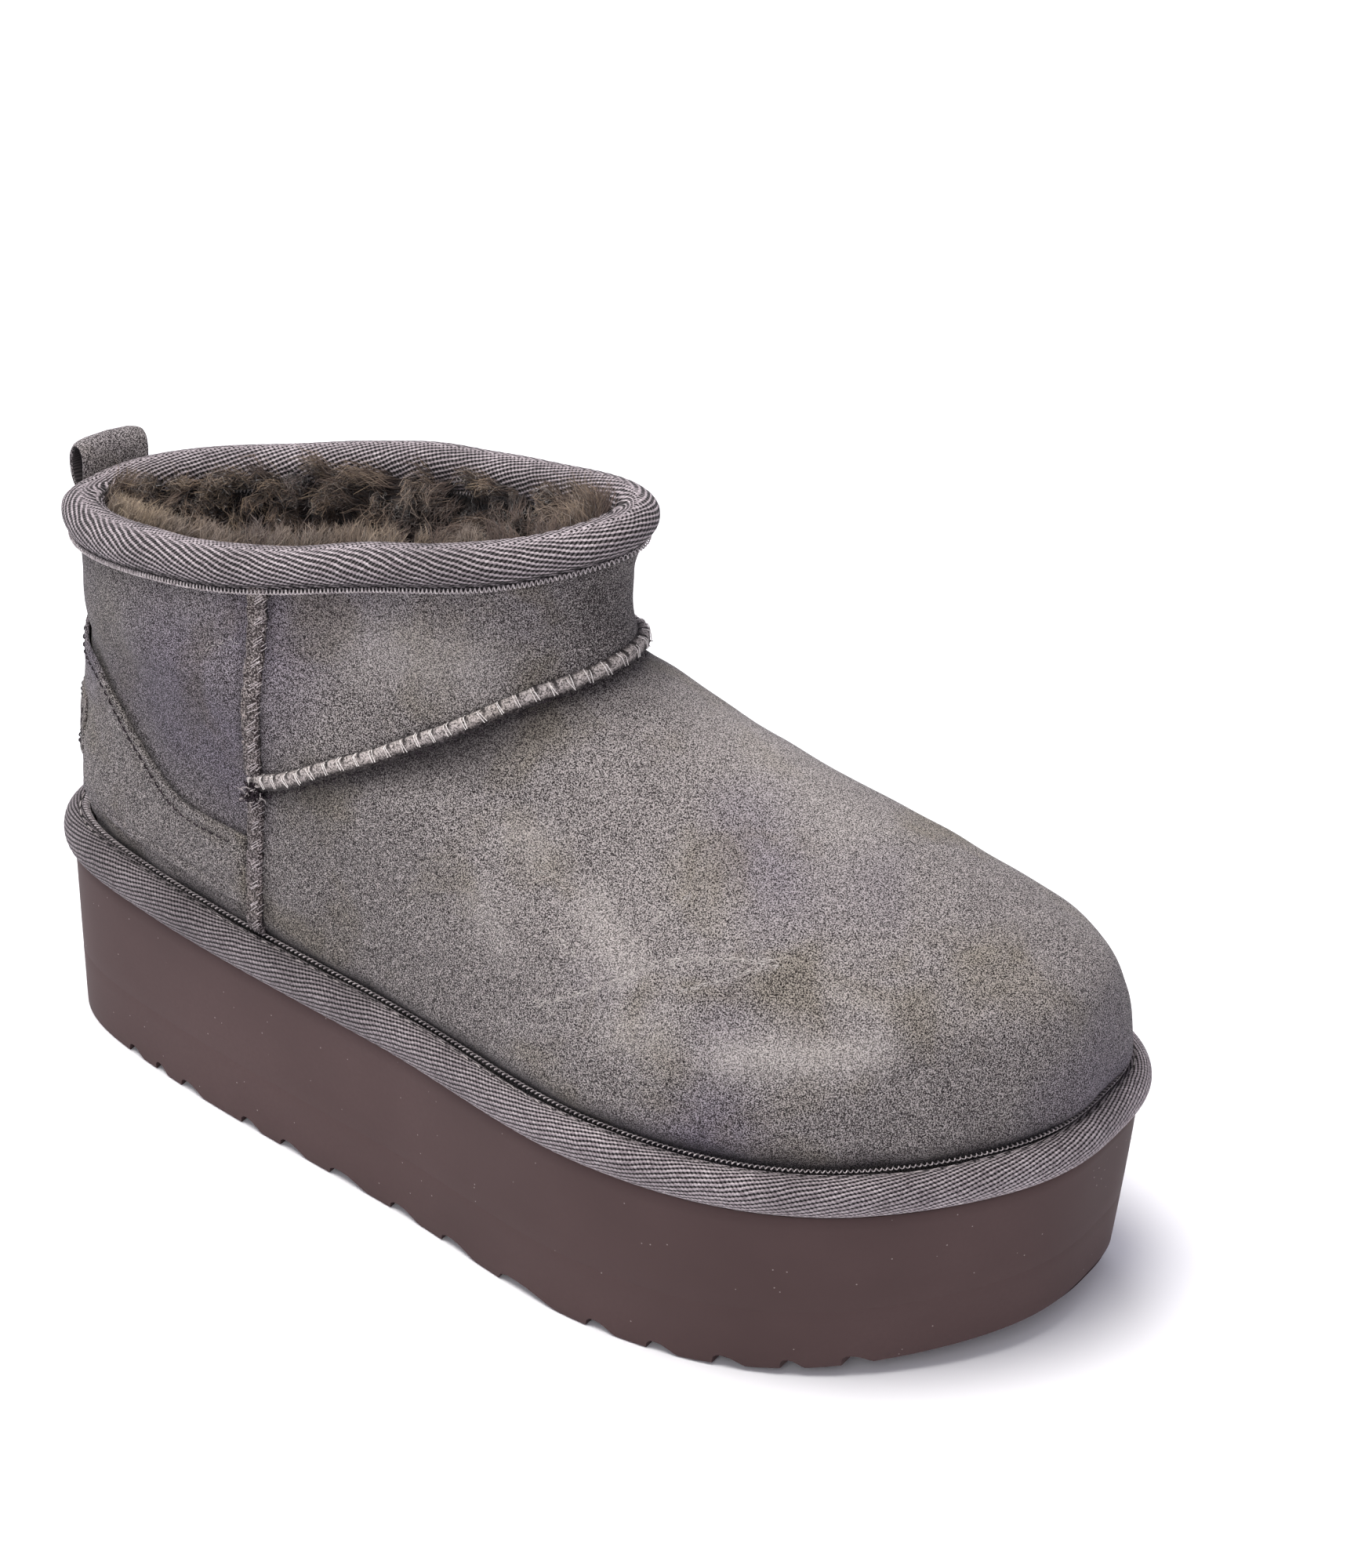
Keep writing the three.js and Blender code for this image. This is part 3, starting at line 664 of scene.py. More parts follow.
def makeUpper():
    # row by row: up the outer skin, over the rim and down the wall's inner face
    skinRows, innerRows = 126, 16
    shares = np.concatenate([np.linspace(0, 1, skinRows), [1, 1], np.linspace(1, 0, innerRows), [0]])
    depths = np.concatenate([np.zeros(skinRows), [0.8, 2.0], np.full(innerRows, 2.8), [0]])  # mm
    rows = len(shares) - 1

    def place(u, v):
        row = np.round(v * rows).astype(int)
        angle, share, depth = u * tau, shares[row], depths[row]
        points = wallPoint(angle, share, depth)
        skin = depth == 0
        seen = points[skin]
        shift = foldDepth(seen)
        shift += 0.22 * waves(seen, 9, 3) + 0.35 * waves(seen, 26, 4)
        # the skin is gathered a little where it turns in to the welt
        gathers = np.cos(angle[skin] * 31 + 2 * np.sin(angle[skin] * 3))
        shift += 0.3 * gathers * np.exp(-((share[skin] - 0.13) / 0.05) ** 2)
        shift *= smoothStep(share[skin], 0.03, 0.12) * (1 - smoothStep(share[skin], 0.95, 1.0))
        points[skin] = seen + lastNormal(angle[skin], share[skin]) * shift[:, None]
        return points

    def marks(u, v):
        row = np.round(v * rows).astype(int)
        angle, share, skin = u * tau, shares[row], depths[row] == 0
        points = lastPoint(angle, share)
        painted = {}
        for name, strokes in (("rub", rubsAndHighlights), ("dark", shadeAndDarkMarks)):
            painted[name] = np.zeros(len(u))
            for strength, width, path in strokes:
                reach = np.exp(-(distanceTo(points, onLast(path)) / width) ** 2)
                painted[name] = np.maximum(painted[name], strength * reach)
        side = np.abs(points[:, 0] - seams["sideX"])
        ahead = points[:, 0] > seams["sideX"]
        # darker above the welt, where dirt gathers and shade falls; painted shadow under the vamp seam,
        # beside the side seams, below the collar and along the counter's edge
        low = smoothStep(-share, -0.17, -0.08) * 0.5
        seam = 0.72 * np.exp(-(np.clip(vampShare(angle) - 0.012 - share, 0, 1) / 0.03) ** 2) * ahead
        seam *= share < vampShare(angle) + 0.01
        beside = 0.35 * np.exp(-((side - 3.0) / 1.2) ** 2)
        rim = 0.5 * smoothStep(share, 0.945, 0.965)
        turned = (angle + math.pi - counter["back"]) % tau - math.pi
        onCounter = turned / (counter["reach"] * np.where(turned < 0, counter["inner"], 1))
        overCounter = share - counterTop(onCounter)
        under = 0.45 * np.exp(-((overCounter - 0.004) / 0.009) ** 2) * (np.abs(onCounter) < 1)
        # painted light: paler where the skin faces up, darker where it faces down
        facesUp = lastNormal(angle, np.clip(share, 0.02, 0.98))[:, 2]
        tone = 0.15 * smoothStep(facesUp, 0.15, 0.75) - 0.06 * smoothStep(-facesUp, -0.2, 0.0)
        return {"rub": painted["rub"] * skin, "tone": tone - painted["dark"],
                "dirt": np.clip(low + seam + beside + rim + under, 0, 0.85) * skin}

    return gridMesh("upperShell", 280, rows, place, marks=marks)


# Paler places where the nap is rubbed, the last two of them painted highlights; then darker ones, mostly
# painted shade:
# strength, width in mm, path of angles and shares.
rubsAndHighlights = [
    (0.45, 5, [(2.14, 0.298), (2.2, 0.311), (2.29, 0.319), (2.39, 0.328), (2.44, 0.335)]),
    (0.22, 6, [(1.642, 0.44), (1.66, 0.39)]),
    (0.2, 5, [(1.918, 0.611), (1.977, 0.6)]),
    (0.26, 5, [(1.953, 0.521), (1.939, 0.467), (1.95, 0.414)]),
    (0.26, 6, [(1.93, 0.3), (2.0, 0.31)]),
    (0.2, 3, [(2.406, 0.435), (2.473, 0.411)]),
    (0.2, 13, [(3.39, 0.76), (3.21, 0.675), (3.14, 0.63)]),
    (0.3, 9, [(1.95, 0.85), (2.3, 0.84)]),
]
shadeAndDarkMarks = [
    (0.28, 9, [(2.85, 0.95), (3.0, 0.86), (3.4, 0.83)]),
    (0.19, 36, [(0.9, 0.3), (0.8, 0.55), (0.6, 0.8)]),
    (0.07, 20, [(1.05, 0.6), (1.0, 0.9)]),
    (0.1, 16, [(1.19, 0.28), (1.45, 0.165), (1.6, 0.14)]),
    (0.14, 5.5, [(2.13, 0.42), (2.23, 0.441), (2.33, 0.452)]),
    (0.12, 5, [(2.07, 0.61), (2.11, 0.6)]),
    (0.08, 6, [(2.27, 0.64), (2.3, 0.64)]),
    (0.06, 9, [(1.3, 0.6), (1.7, 0.72), (2.2, 0.8)]),
    (0.07, 12, [(1.5, 0.1), (2.1, 0.08), (2.85, 0.07), (3.5, 0.07)]),
]
upper = finishPiece(makeUpper(), upperSuede, ["upper"])
upperCorners = [v.co for v in upper.data.vertices]
upperTree = BVHTree.FromPolygons(upperCorners, [p.vertices for p in upper.data.polygons])


def ontoUpper(point, normal):  # the point of the upper's skin under a point near it, in mm
    start = (point + normal * 6 + np.array(last["shift"])) * mm
    hit = upperTree.ray_cast(start.tolist(), (-normal).tolist(), 12 * mm)[0]
    return point if hit is None else np.array(hit) / mm - np.array(last["shift"])


# Where something scraped past, it raised pale fibres: how many to a mm, spread in mm, and a path.
scrapes = [
    (6, 0.6, [(1.742, 0.28), (1.865, 0.36), (1.936, 0.40), (2.025, 0.445), (2.112, 0.466), (2.238, 0.481),
              (2.316, 0.483)]),
    (3, 0.8, [(1.792, 0.447), (1.888, 0.372)]),
    (2, 0.7, [(1.882, 0.559), (1.907, 0.53)]),
    (4, 0.4, [(2.05, 0.403), (2.133, 0.432), (2.21, 0.455), (2.28, 0.471), (2.323, 0.477)]),
    (3, 0.8, [(1.978, 0.49), (2.016, 0.458)]),
    (4, 0.5, [(2.07, 0.513), (2.194, 0.55), (2.27, 0.568)]),
    (3, 0.9, [(1.824, 0.47), (1.967, 0.511), (1.99, 0.508)]),
    (4, 3.0, [(2.08, 0.295), (2.3, 0.32), (2.42, 0.33)]),
    (1.5, 0.5, [(1.33, 0.82), (1.38, 0.84), (1.45, 0.85)]),
    (3, 0.5, [(4.2, 0.4), (4.1, 0.36), (4.02, 0.35)]),
]


def makeScrapes():
    rng = np.random.default_rng(23)
    paths = []
    for dense, spread, marks in scrapes:
        marks = np.array(marks)
        for (a0, s0), (a1, s1) in zip(marks[:-1], marks[1:]):
            start, end = lastPoint(a0, s0), lastPoint(a1, s1)
            count = int(np.linalg.norm(end - start) * dense)
            for t in rng.uniform(0, 1, count):
                angle, share = a0 + (a1 - a0) * t, s0 + (s1 - s0) * t
                normal = lastNormal(angle, share)
                centre = lastPoint(angle, share) + rng.normal(0, spread, 3)
                heading = unit(end - start + rng.normal(0, 0.55, 3) * np.linalg.norm(end - start))
                heading = unit(heading - normal * (heading @ normal))
                base = ontoUpper(centre, normal)
                reach = rng.uniform(0.3, 0.8)
                arch = ((-1, 0.02), (0, 0.14), (1, 0.04))
                paths.append([base + heading * reach * k + normal * lift for k, lift in arch])
    return threadMesh("raisedFibres", paths, 0.045)


finishPiece(makeScrapes(), raisedNap)


# Seams: raw edges pressed together and oversewn
# width, height and the stitches' pitch in mm, and how rough the band is, as a share
ridge = {"width": 4.9, "height": 1.25, "pitch": 5.4, "rough": 1.0}
vampRidge = {"width": 3.9, "height": 2.0, "pitch": 4.2, "rough": 0.35}


def ridgeTop(across, look):  # the height of the band at a distance from its middle, both in mm
    c = np.clip(np.abs(across) / (look["width"] / 2), 0, 1) ** 2
    return look["height"] * (1 - c * c) ** 0.22


def ridgeMesh(name, points, normals, look, columns, paint, seed=0):
    # A flat band along a path, pinched at every stitch. u runs along it, v round its section.
    _, normals, sides = frameAlong(points, normals)
    length = lengthsAlong(points)[-1]
    half, tall = look["width"] / 2, look["height"]

    def place(u, v):
        i = u * (len(points) - 1)
        low = np.clip(np.floor(i).astype(int), 0, len(points) - 2)
        mix = (i - low)[:, None]
        at = lambda rows: rows[low] * (1 - mix) + rows[low + 1] * mix
        c, s = np.cos(v * tau), np.sin(v * tau)
        across = half * np.sign(c) * np.abs(c) ** 0.5
        rise = np.where(s > 0, tall * np.abs(s) ** 0.44, -0.8 * np.abs(s))
        pinch = 1 - 0.14 * np.exp(-(((u * length / look["pitch"]) % 1 - 0.5) / 0.1) ** 2)
        ends = np.minimum(1, np.minimum(u, 1 - u) * length / 1.2 + 0.15) ** 0.5
        base = at(points) + at(sides) * (across * ends)[:, None]
        base += at(normals) * (rise * pinch * ends)[:, None]
        rough = look["rough"] * 0.14 * waves(base, 0.8, 11 + seed) + 0.16 * waves(base, 2.6, 12 + seed)
        edge = 0.3 * np.where(c < 0, 1, look["rough"]) * waves(base, 0.9, 13 + seed) * np.abs(c) ** 3
        return base + at(normals) * (rough * (s > -0.2) * ends)[:, None] + at(sides) * (edge * ends)[:, None]

    def marks(u, v):
        return paint(u * length, np.cos(v * tau), np.sin(v * tau))

    return gridMesh(name, columns, 20, place, marks=marks)


def sidePath(low, high, outer, count=80):
    share = np.linspace(low, high, count)
    angle = sideAngle(share, outer)
    return lastPoint(angle, share), lastNormal(angle, share)


def vampPath(count):
    angle = np.linspace(1.13, tau - 1.13, 900)
    run = lengthsAlong(lastPoint(angle, vampShare(angle)))
    angle = np.interp(np.linspace(0, run[-1], count), run, angle)
    share = vampShare(angle)
    return lastPoint(angle, share), lastNormal(angle, share)


def paintSide(run, c, s, knot):  # a frayed pale edge at the back, painted shade along its feet, and a dark knot at the junction
    rng = np.random.default_rng(14)
    frayed = rng.uniform(0, 1, len(run)) ** 1.5
    rub = 0.55 * smoothStep(c, 0.75, 0.97) * frayed * (s > -0.2) + 0.12 * frayed * (np.abs(c) < 0.5)
    dirt = 0.85 * smoothStep(-s, -0.25, 0.1) + 0.8 * (1 - smoothStep(np.abs(run - knot), 2.0, 3.5))
    return {"rub": rub, "tone": -0.34 + 0.14 * frayed, "dirt": np.clip(dirt, 0, 0.85) * (rub < 0.3)}


def paintVamp(run, c, s):  # pale on top, where the skin folds back, partly painted highlight; dark along its lower edge, raw, with painted shade under it
    rng = np.random.default_rng(15)
    frayed = rng.uniform(0, 1, len(run))
    top = smoothStep(c, -0.5, -0.2) * (s > 0)
    rawEdgeAndShade = smoothStep(-c, -0.05, 0.3) * (0.7 + 0.3 * frayed) + 0.6 * (s < 0.05)
    # painted shade in needle holes along the top
    rawEdgeAndShade += 0.9 * (np.abs((run / vampRidge["pitch"]) % 1 - 0.7) < 0.12) * smoothStep(c, 0.15, 0.35)
    return {"rub": 0.42 * top, "tone": 0.24 * top, "dirt": np.clip(rawEdgeAndShade, 0, 0.97)}


def makeSideSeams():
    made = []
    for outer in (True, False):
        junction = 0.523
        for low, high in ((0.085, junction - 0.004), (junction + 0.012, 0.965)):
            points, normals = sidePath(low, high, outer)
            knot = lengthsAlong(points)[-1] - 1 if low < 0.1 else -2
            paint = lambda run, c, s: paintSide(run, c, s, knot)
            seed = int(outer) + int(high * 10)
            made.append(ridgeMesh("sideRidge", points, normals, ridge, 120, paint, seed))
    return joinPieces("sideSeams", made)


def makeVampSeam():
    points, normals = vampPath(260)
    return ridgeMesh("vampSeam", points, normals, vampRidge, 440, paintVamp, 5)


finishPiece(makeSideSeams(), seamSuede)
finishPiece(makeVampSeam(), seamSuede)


def stitchesAcross(points, normals, look, places, reach, slant, seed, lift=0.1):
    # short threads over a band, each from one side of its middle line to the other
    rng = np.random.default_rng(seed)
    tangents, normals, sides = frameAlong(points, normals)
    run = lengthsAlong(points)
    paths = []
    for centre in places:
        lean = slant + rng.normal(0, 0.12)
        centre = centre + rng.normal(0, 0.1)
        path = []
        for t in np.linspace(reach[0], reach[1], 8) + rng.normal(0, 0.15):
            s = np.clip(centre + t * lean, 0, run[-1] - 0.01)
            i = np.clip(np.searchsorted(run, s) - 1, 0, len(points) - 2)
            rise = max(ridgeTop(t, look), 0.05) + lift
            path.append(points[i] + tangents[i] * (s - run[i]) + sides[i] * t + normals[i] * rise)
        paths.append(path)
    return paths


def tangle(centre, normal, size, count, seed):  # short curled fibres in a tuft, in mm
    rng = np.random.default_rng(seed)
    paths = []
    for _ in range(count):
        at = centre + rng.normal(size=3) * size * 0.5
        heading = unit(rng.normal(size=3) + normal * 0.3)
        path = []
        for _ in range(7):
            path.append(at)
            heading = unit(heading + rng.normal(size=3) * 0.6)
            at = at + heading * size * 0.16
        paths.append(path)
    return paths


def makeVampThreads():
    points, normals = vampPath(700)
    total = lengthsAlong(points)[-1]
    places = [at + twin for at in np.arange(2.1, total - 2, vampRidge["pitch"]) for twin in (0, 0.6)]
    paths = stitchesAcross(points, normals, vampRidge, places, (-1.0, 1.95), -0.12, 7, 0.3)
    return threadMesh("vampThreads", paths, 0.11)


def makeRawEdge():  # dark fibres along the cut lower edge of the vamp seam
    points, normals = vampPath(900)
    _, normals, sides = frameAlong(points, normals)
    paths = []
    for i in range(3, 897, 4):
        paths += tangle(points[i] - sides[i] * 2.0 + normals[i] * 0.9, normals[i] - sides[i], 1.5, 2, 300 + i)
    return threadMesh("rawEdge", paths, 0.1)


def makeSideThreads():
    paths = []
    for outer in (True, False):
        points, normals = sidePath(0.09, 0.955, outer, 400)
        turn = 1 if outer else -1
        total = lengthsAlong(points)[-1]
        groups = np.arange(2.4, total - 3, ridge["pitch"])
        places = [at + strand for at in groups for strand in (0, 0.75, 1.5)]
        reach = (-2.2, -0.1) if outer else (0.1, 2.2)
        paths += stitchesAcross(points, normals, ridge, places, reach, -0.9 * turn, 8 + outer, 0.4)
        edge = [at + 0.5 * k for at in groups for k in (5, 8)]
        reach = (-2.75, -2.0) if outer else (2.0, 2.75)
        paths += stitchesAcross(points, normals, ridge, edge, reach, -1.2 * turn, 10 + outer, 0.25)
    return threadMesh("sideThreads", paths, 0.09)


def makeFray(name, count, seed):  # the loose ends where the side and vamp seams meet
    paths = []
    for angle in (1.155, tau - 1.155):
        centre, normal = lastPoint(angle, 0.512), lastNormal(angle, 0.512)
        paths += tangle(centre + normal * 1.8, normal, 2.2, count, seed)
    return threadMesh(name, paths, 0.15)


finishPiece(makeVampThreads(), paleThread)
finishPiece(makeSideThreads(), selvedgeYarn)
finishPiece(makeFray("frayedEnds", 150, 19), darkThread)
finishPiece(makeFray("frayedTips", 45, 20), greyThread)
finishPiece(makeRawEdge(), darkThread)


# Heel: counter, blank patch and pull loop
def heelPatch(name, look, bottom, top, proud, thick, columns, rows, rough=0.25, edge=1.2):
    # A patch over the heel: u runs from the inner to the outer side, v round its section, front then back.
    def place(u, v):
        across = 2 * u - 1
        front = v < 0.5
        up = np.where(front, v * 2, 2 - v * 2)
        low, high = bottom(across), top(across)
        share = low + (high - low) * up
        angle = patchAngle(look, across)
        rise = (high - low) * 95
        toEdge = np.minimum(np.minimum(up, 1 - up) * rise, (1 - np.abs(across)) * look["reach"] * 42)
        rounded = np.sqrt(np.clip(1 - (1 - np.clip(toEdge / edge, 0, 1)) ** 2, 0, 1))
        points, normals = lastPoint(angle, share), lastNormal(angle, share)
        bow = rough * waves(points, 8, 21) + 0.1 * waves(points, 3, 22)
        rise = np.where(front, proud + (thick + bow) * rounded, proud)
        rise -= np.where(front, 0.45 * np.exp(-((toEdge - 3.0) / 0.55) ** 2), 0)
        return points + normals * rise[:, None]

    return gridMesh(name, columns, rows * 2, place)


def makeCounter():
    bottom = lambda across: np.full(np.shape(across), counter["from"])
    thick = counter["thickness"]
    return heelPatch("heelCounter", counter, bottom, counterTop, 0.25, thick, 130, 62, edge=0.8)


label = {"back": -0.05, "reach": 0.4, "from": 0.27, "to": 0.44}  # angles, then shares of the height


def makeLabel():
    low = lambda across: np.full(np.shape(across), label["from"])
    high = lambda across: np.full(np.shape(across), label["to"])
    return heelPatch("heelPatch", label, low, high, 1.3, 0.7, 60, 40, rough=0.1, edge=0.9)


finishPiece(makeCounter(), trimSuede, ["heel_counter"])
finishPiece(makeLabel(), trimSuede, ["heel_label"])


def runningStitches(points, normals, stitch, gap, lift, seed):  # short threads along a path
    rng = np.random.default_rng(seed)
    run = lengthsAlong(points)
    paths = []
    for at in np.arange(0.5, run[-1] - stitch, stitch + gap):
        path = []
        for t in np.linspace(0, 1, 6):
            s = at + t * stitch + rng.normal(0, 0.03)
            i = np.clip(np.searchsorted(run, s) - 1, 0, len(points) - 2)
            part = (s - run[i]) / (run[i + 1] - run[i])
            base = points[i] + (points[i + 1] - points[i]) * part
            path.append(base + normals[i] * (lift * (1 - (2 * t - 1) ** 4) - 0.15))
        paths.append(path)
    return paths


def makeHeelThreads():
    across = np.linspace(-0.97, 0.97, 600)
    angle = patchAngle(counter, across)
    share = counterTop(across) - 3.0 / 95
    points, normals = lastPoint(angle, share), lastNormal(angle, share)
    paths = runningStitches(points + normals * 1.5, normals, 1.5, 1.1, 0.3, 31)
    inset = 0.9
    corners = [(-inset, 0.08), (inset, 0.08), (inset, 0.92), (-inset, 0.92), (-inset, 0.08)]
    for (a0, u0), (a1, u1) in zip(corners[:-1], corners[1:]):
        a, up = np.linspace(a0, a1, 80), np.linspace(u0, u1, 80)
        angle, share = label["back"] + a * label["reach"], label["from"] + (label["to"] - label["from"]) * up
        points, normals = lastPoint(angle, share), lastNormal(angle, share)
        paths += runningStitches(points + normals * 1.95, normals, 2.0, 0.7, 0.3, 32)
    return threadMesh("heelThreads", paths, 0.2)


finishPiece(makeHeelThreads(), darkThread)

loop = {
    "angle": -0.3,
    "width": 17.5,  # mm
    "twist": -0.26,  # how far its top is turned off the heel, in radians
    "route": ((0.7, -22.5), (1.2, -17), (3.8, -10), (7.2, -4), (8.7, 0.5), (8.4, 4.6), (6.2, 6.3), (3.9, 5.4),
              (2.7, 1.5), (2.7, -5)),  # out from the last, up from the rim
}


def loopRoute(t):
    route = np.array(loop["route"])
    at = np.linspace(0, 1, len(route))
    return smoothCurve(at, list(route[:, 0]), t), smoothCurve(at, list(route[:, 1]), t)


def strap(name, inner, outer, width, columns, rows):
    middle = lastPoint(loop["angle"], 1.0)
    outward = flat(lastNormal(loop["angle"], 1.0))
    slope = 0.1 / (middle[2] - lastPoint(loop["angle"], 0.9)[2])
    beside = np.array([-outward[1], outward[0], 0])

    def place(u, v):
        out, up = loopRoute(u)
        twist = (loop["twist"] * smoothStep(up, -15, -2))[:, None]
        along = beside * np.cos(twist) + outward * np.sin(twist)
        away = outward * np.cos(twist) - beside * np.sin(twist)
        outAhead, upAhead = loopRoute(np.clip(u + 0.004, 0, 1))
        outBack, upBack = loopRoute(np.clip(u - 0.004, 0, 1))
        run = np.hypot(outAhead - outBack, upAhead - upBack)
        ahead = np.stack([(outAhead - outBack) / run, (upAhead - upBack) / run], 1)
        turn = v * tau
        c, s = np.cos(turn), np.sin(turn)
        side = np.sign(c) * np.abs(c) ** 0.25 * width / 2
        depth = (inner + outer) / 2 + np.sign(s) * np.abs(s) ** 0.6 * (outer - inner) / 2
        o, w = out + ahead[:, 1] * depth, up - ahead[:, 0] * depth
        # low down it lies on the heel, which leans in and is round
        wall = lastPoint(loop["angle"], 1 + np.minimum(w, 0) * slope)
        o = o + ((wall - middle) @ outward - side ** 2 / 56) * smoothStep(-w, 4, 12) * (u < 0.5)
        points = middle + away * o[:, None] + along * side[:, None]
        points[:, 2] += w - 1.5 * np.abs(side / (width / 2)) ** 3 * smoothStep(up, -2, 5)
        sway = 0.5 * np.sin(u * 7) * smoothStep(u, 0.2, 0.5)
        return points + along * sway[:, None] + away * (0.12 * waves(points, 2.5, 41))[:, None]

    return gridMesh(name, columns, rows, place, size=(0.05, (width * 2) * mm))


loopStrap = strap("pullLoop", 0.0, 0.9, loop["width"], 70, 40)
finishPiece(loopStrap, upperSuede, ["pull_loop"])
lining = {"rib": 1.0, "dark": "#0e0a0b", "light": "#30292b"}


def grosgrain(name, look):  # grosgrain ribbon: stout yarns across its width, ribbed crosswise
    material, add = startMaterial(name)
    along = add("SeparateXYZ", {0: add("UVMap", {}, uv_map="UVMap")})
    between = triangleWave(add, add("Math", {0: along, 1: look["rib"] * mm}, operation="DIVIDE"))
    ribUp = add("Math", {0: 1.0, 1: between}, operation="SUBTRACT")
    # darker between the ribs and paler on their tops: painted shade and highlight
    much = add("MapRange", {0: ribUp, 1: 0.1, 2: 0.6})
    add("OutputMaterial", {0: add("BsdfPrincipled", {
        "Base Color": add("Mix", {0: much, 6: colour(look["dark"]), 7: colour(look["light"])}, **rgb),
        "Normal": add("Bump", {"Height": ribUp, "Strength": 0.8, "Distance": 0.3 * mm}),
        "Roughness": 0.8, "IOR": 1.45})})
    return material


liningStrap = strap("pullLoopLining", -0.4, -0.02, loop["width"] - 0.8, 70, 20)
finishPiece(liningStrap, grosgrain("grosgrainLining", lining))


# Bindings: tape folded over the rim and rolled round the sole
def evenAngles(pathOf, count=2000):
    # a function from 0..1 to the angle, so that equal steps are equal lengths along the ring
    angle = np.linspace(0, tau, count)
    points = pathOf(angle)
    run = lengthsAlong(points)
    return (lambda t: np.interp(t, run / run[-1], angle)), run[-1]


collar = {
    "dropOut": 7.0,  # mm from the rim down to the tape's edges
    "dropIn": 6.5,
    "tape": 1.4,
    "ribHeight": 0.22,
    "loopPitch": 1.0,  # between the overlocked loops
}


def besideRim(angle, across, up):  # a point in mm out from the middle of the rim's wall, and up from the rim
    rim = lastPoint(angle, 1.0)
    lower = lastPoint(angle, 0.9)
    slope = 0.1 / (rim[..., 2] - lower[..., 2])
    wall = lastPoint(angle, 1 + np.minimum(up, 0) * slope)
    outward = flat(lastNormal(angle, 1.0))
    lean = ((wall - rim) * outward).sum(-1)
    points = rim + outward * (across - last["rimWall"] / 2 + lean)[..., None]
    points[..., 2] = rim[..., 2] + up
    return points


def collarSection(t):
    # t runs from the outer edge, 0, over the crown, to the inner edge, 1; across and up in mm
    half = last["rimWall"] / 2 + 1.5 * last["gap"] + collar["tape"]
    knots = ((half - 0.8, -collar["dropOut"]), (half - 0.65, -5.4), (half + 0.35, -4.1), (half + 0.75, -2.2),
             (half + 0.2, 0), (half * 0.62, 1.8), (0, 2.5), (-half * 0.6, 1.95), (-half + 0.15, 0.3),
             (-half - 0.3, -2.0), (-half - 0.1, -4.4), (-half + 0.5, -collar["dropIn"]))
    at = np.linspace(0, 1, len(knots))
    return smoothCurve(at, [k[0] for k in knots], t), smoothCurve(at, [k[1] for k in knots], t)


def sectionRun(section, count=400):
    t = np.linspace(0, 1, count)
    a, b = section(t)
    run = np.concatenate([[0], np.cumsum(np.hypot(np.diff(a), np.diff(b)))])
    return t, run


collarAngle, collarLength = evenAngles(lambda a: besideRim(a, np.full(a.shape, 0.0), np.full(a.shape, 0.0)))
collarT, collarRun = sectionRun(collarSection)
collarWidth = collarRun[-1]
collarSizes = ribSizes(collarLength, tapeLook)


def ribHeight(along, across, warp, sizes):
    lean, rib, _ = sizes
    part = ((np.abs(across) * math.cos(lean) - along * math.sin(lean)) / rib + warp) % 1
    return np.sqrt(np.clip(1 - (2 * part - 1) ** 2, 0, 1))


def tightBends(angle, front, heel):  # 1 at the two tight bends of the rim, over the instep and at the heel
    turned = (angle + math.pi) % tau - math.pi
    return np.exp(-((angle - math.pi) / front) ** 2) + np.exp(-((turned - heel) / 0.6) ** 2)


def collarWarp(angle, across):  # how many ribs the weave is pulled off its line, most inside the tight bends
    place = np.stack([np.cos(angle) * 60, np.sin(angle) * 40, across], -1)
    bend = tightBends(angle, 0.5, 0.0)
    pulled = 1.2 * bend * np.sin(across * 0.7 + 4 * angle) * smoothStep(across, -3, 3)
    return 0.35 * waves(place, 13, 52) + pulled


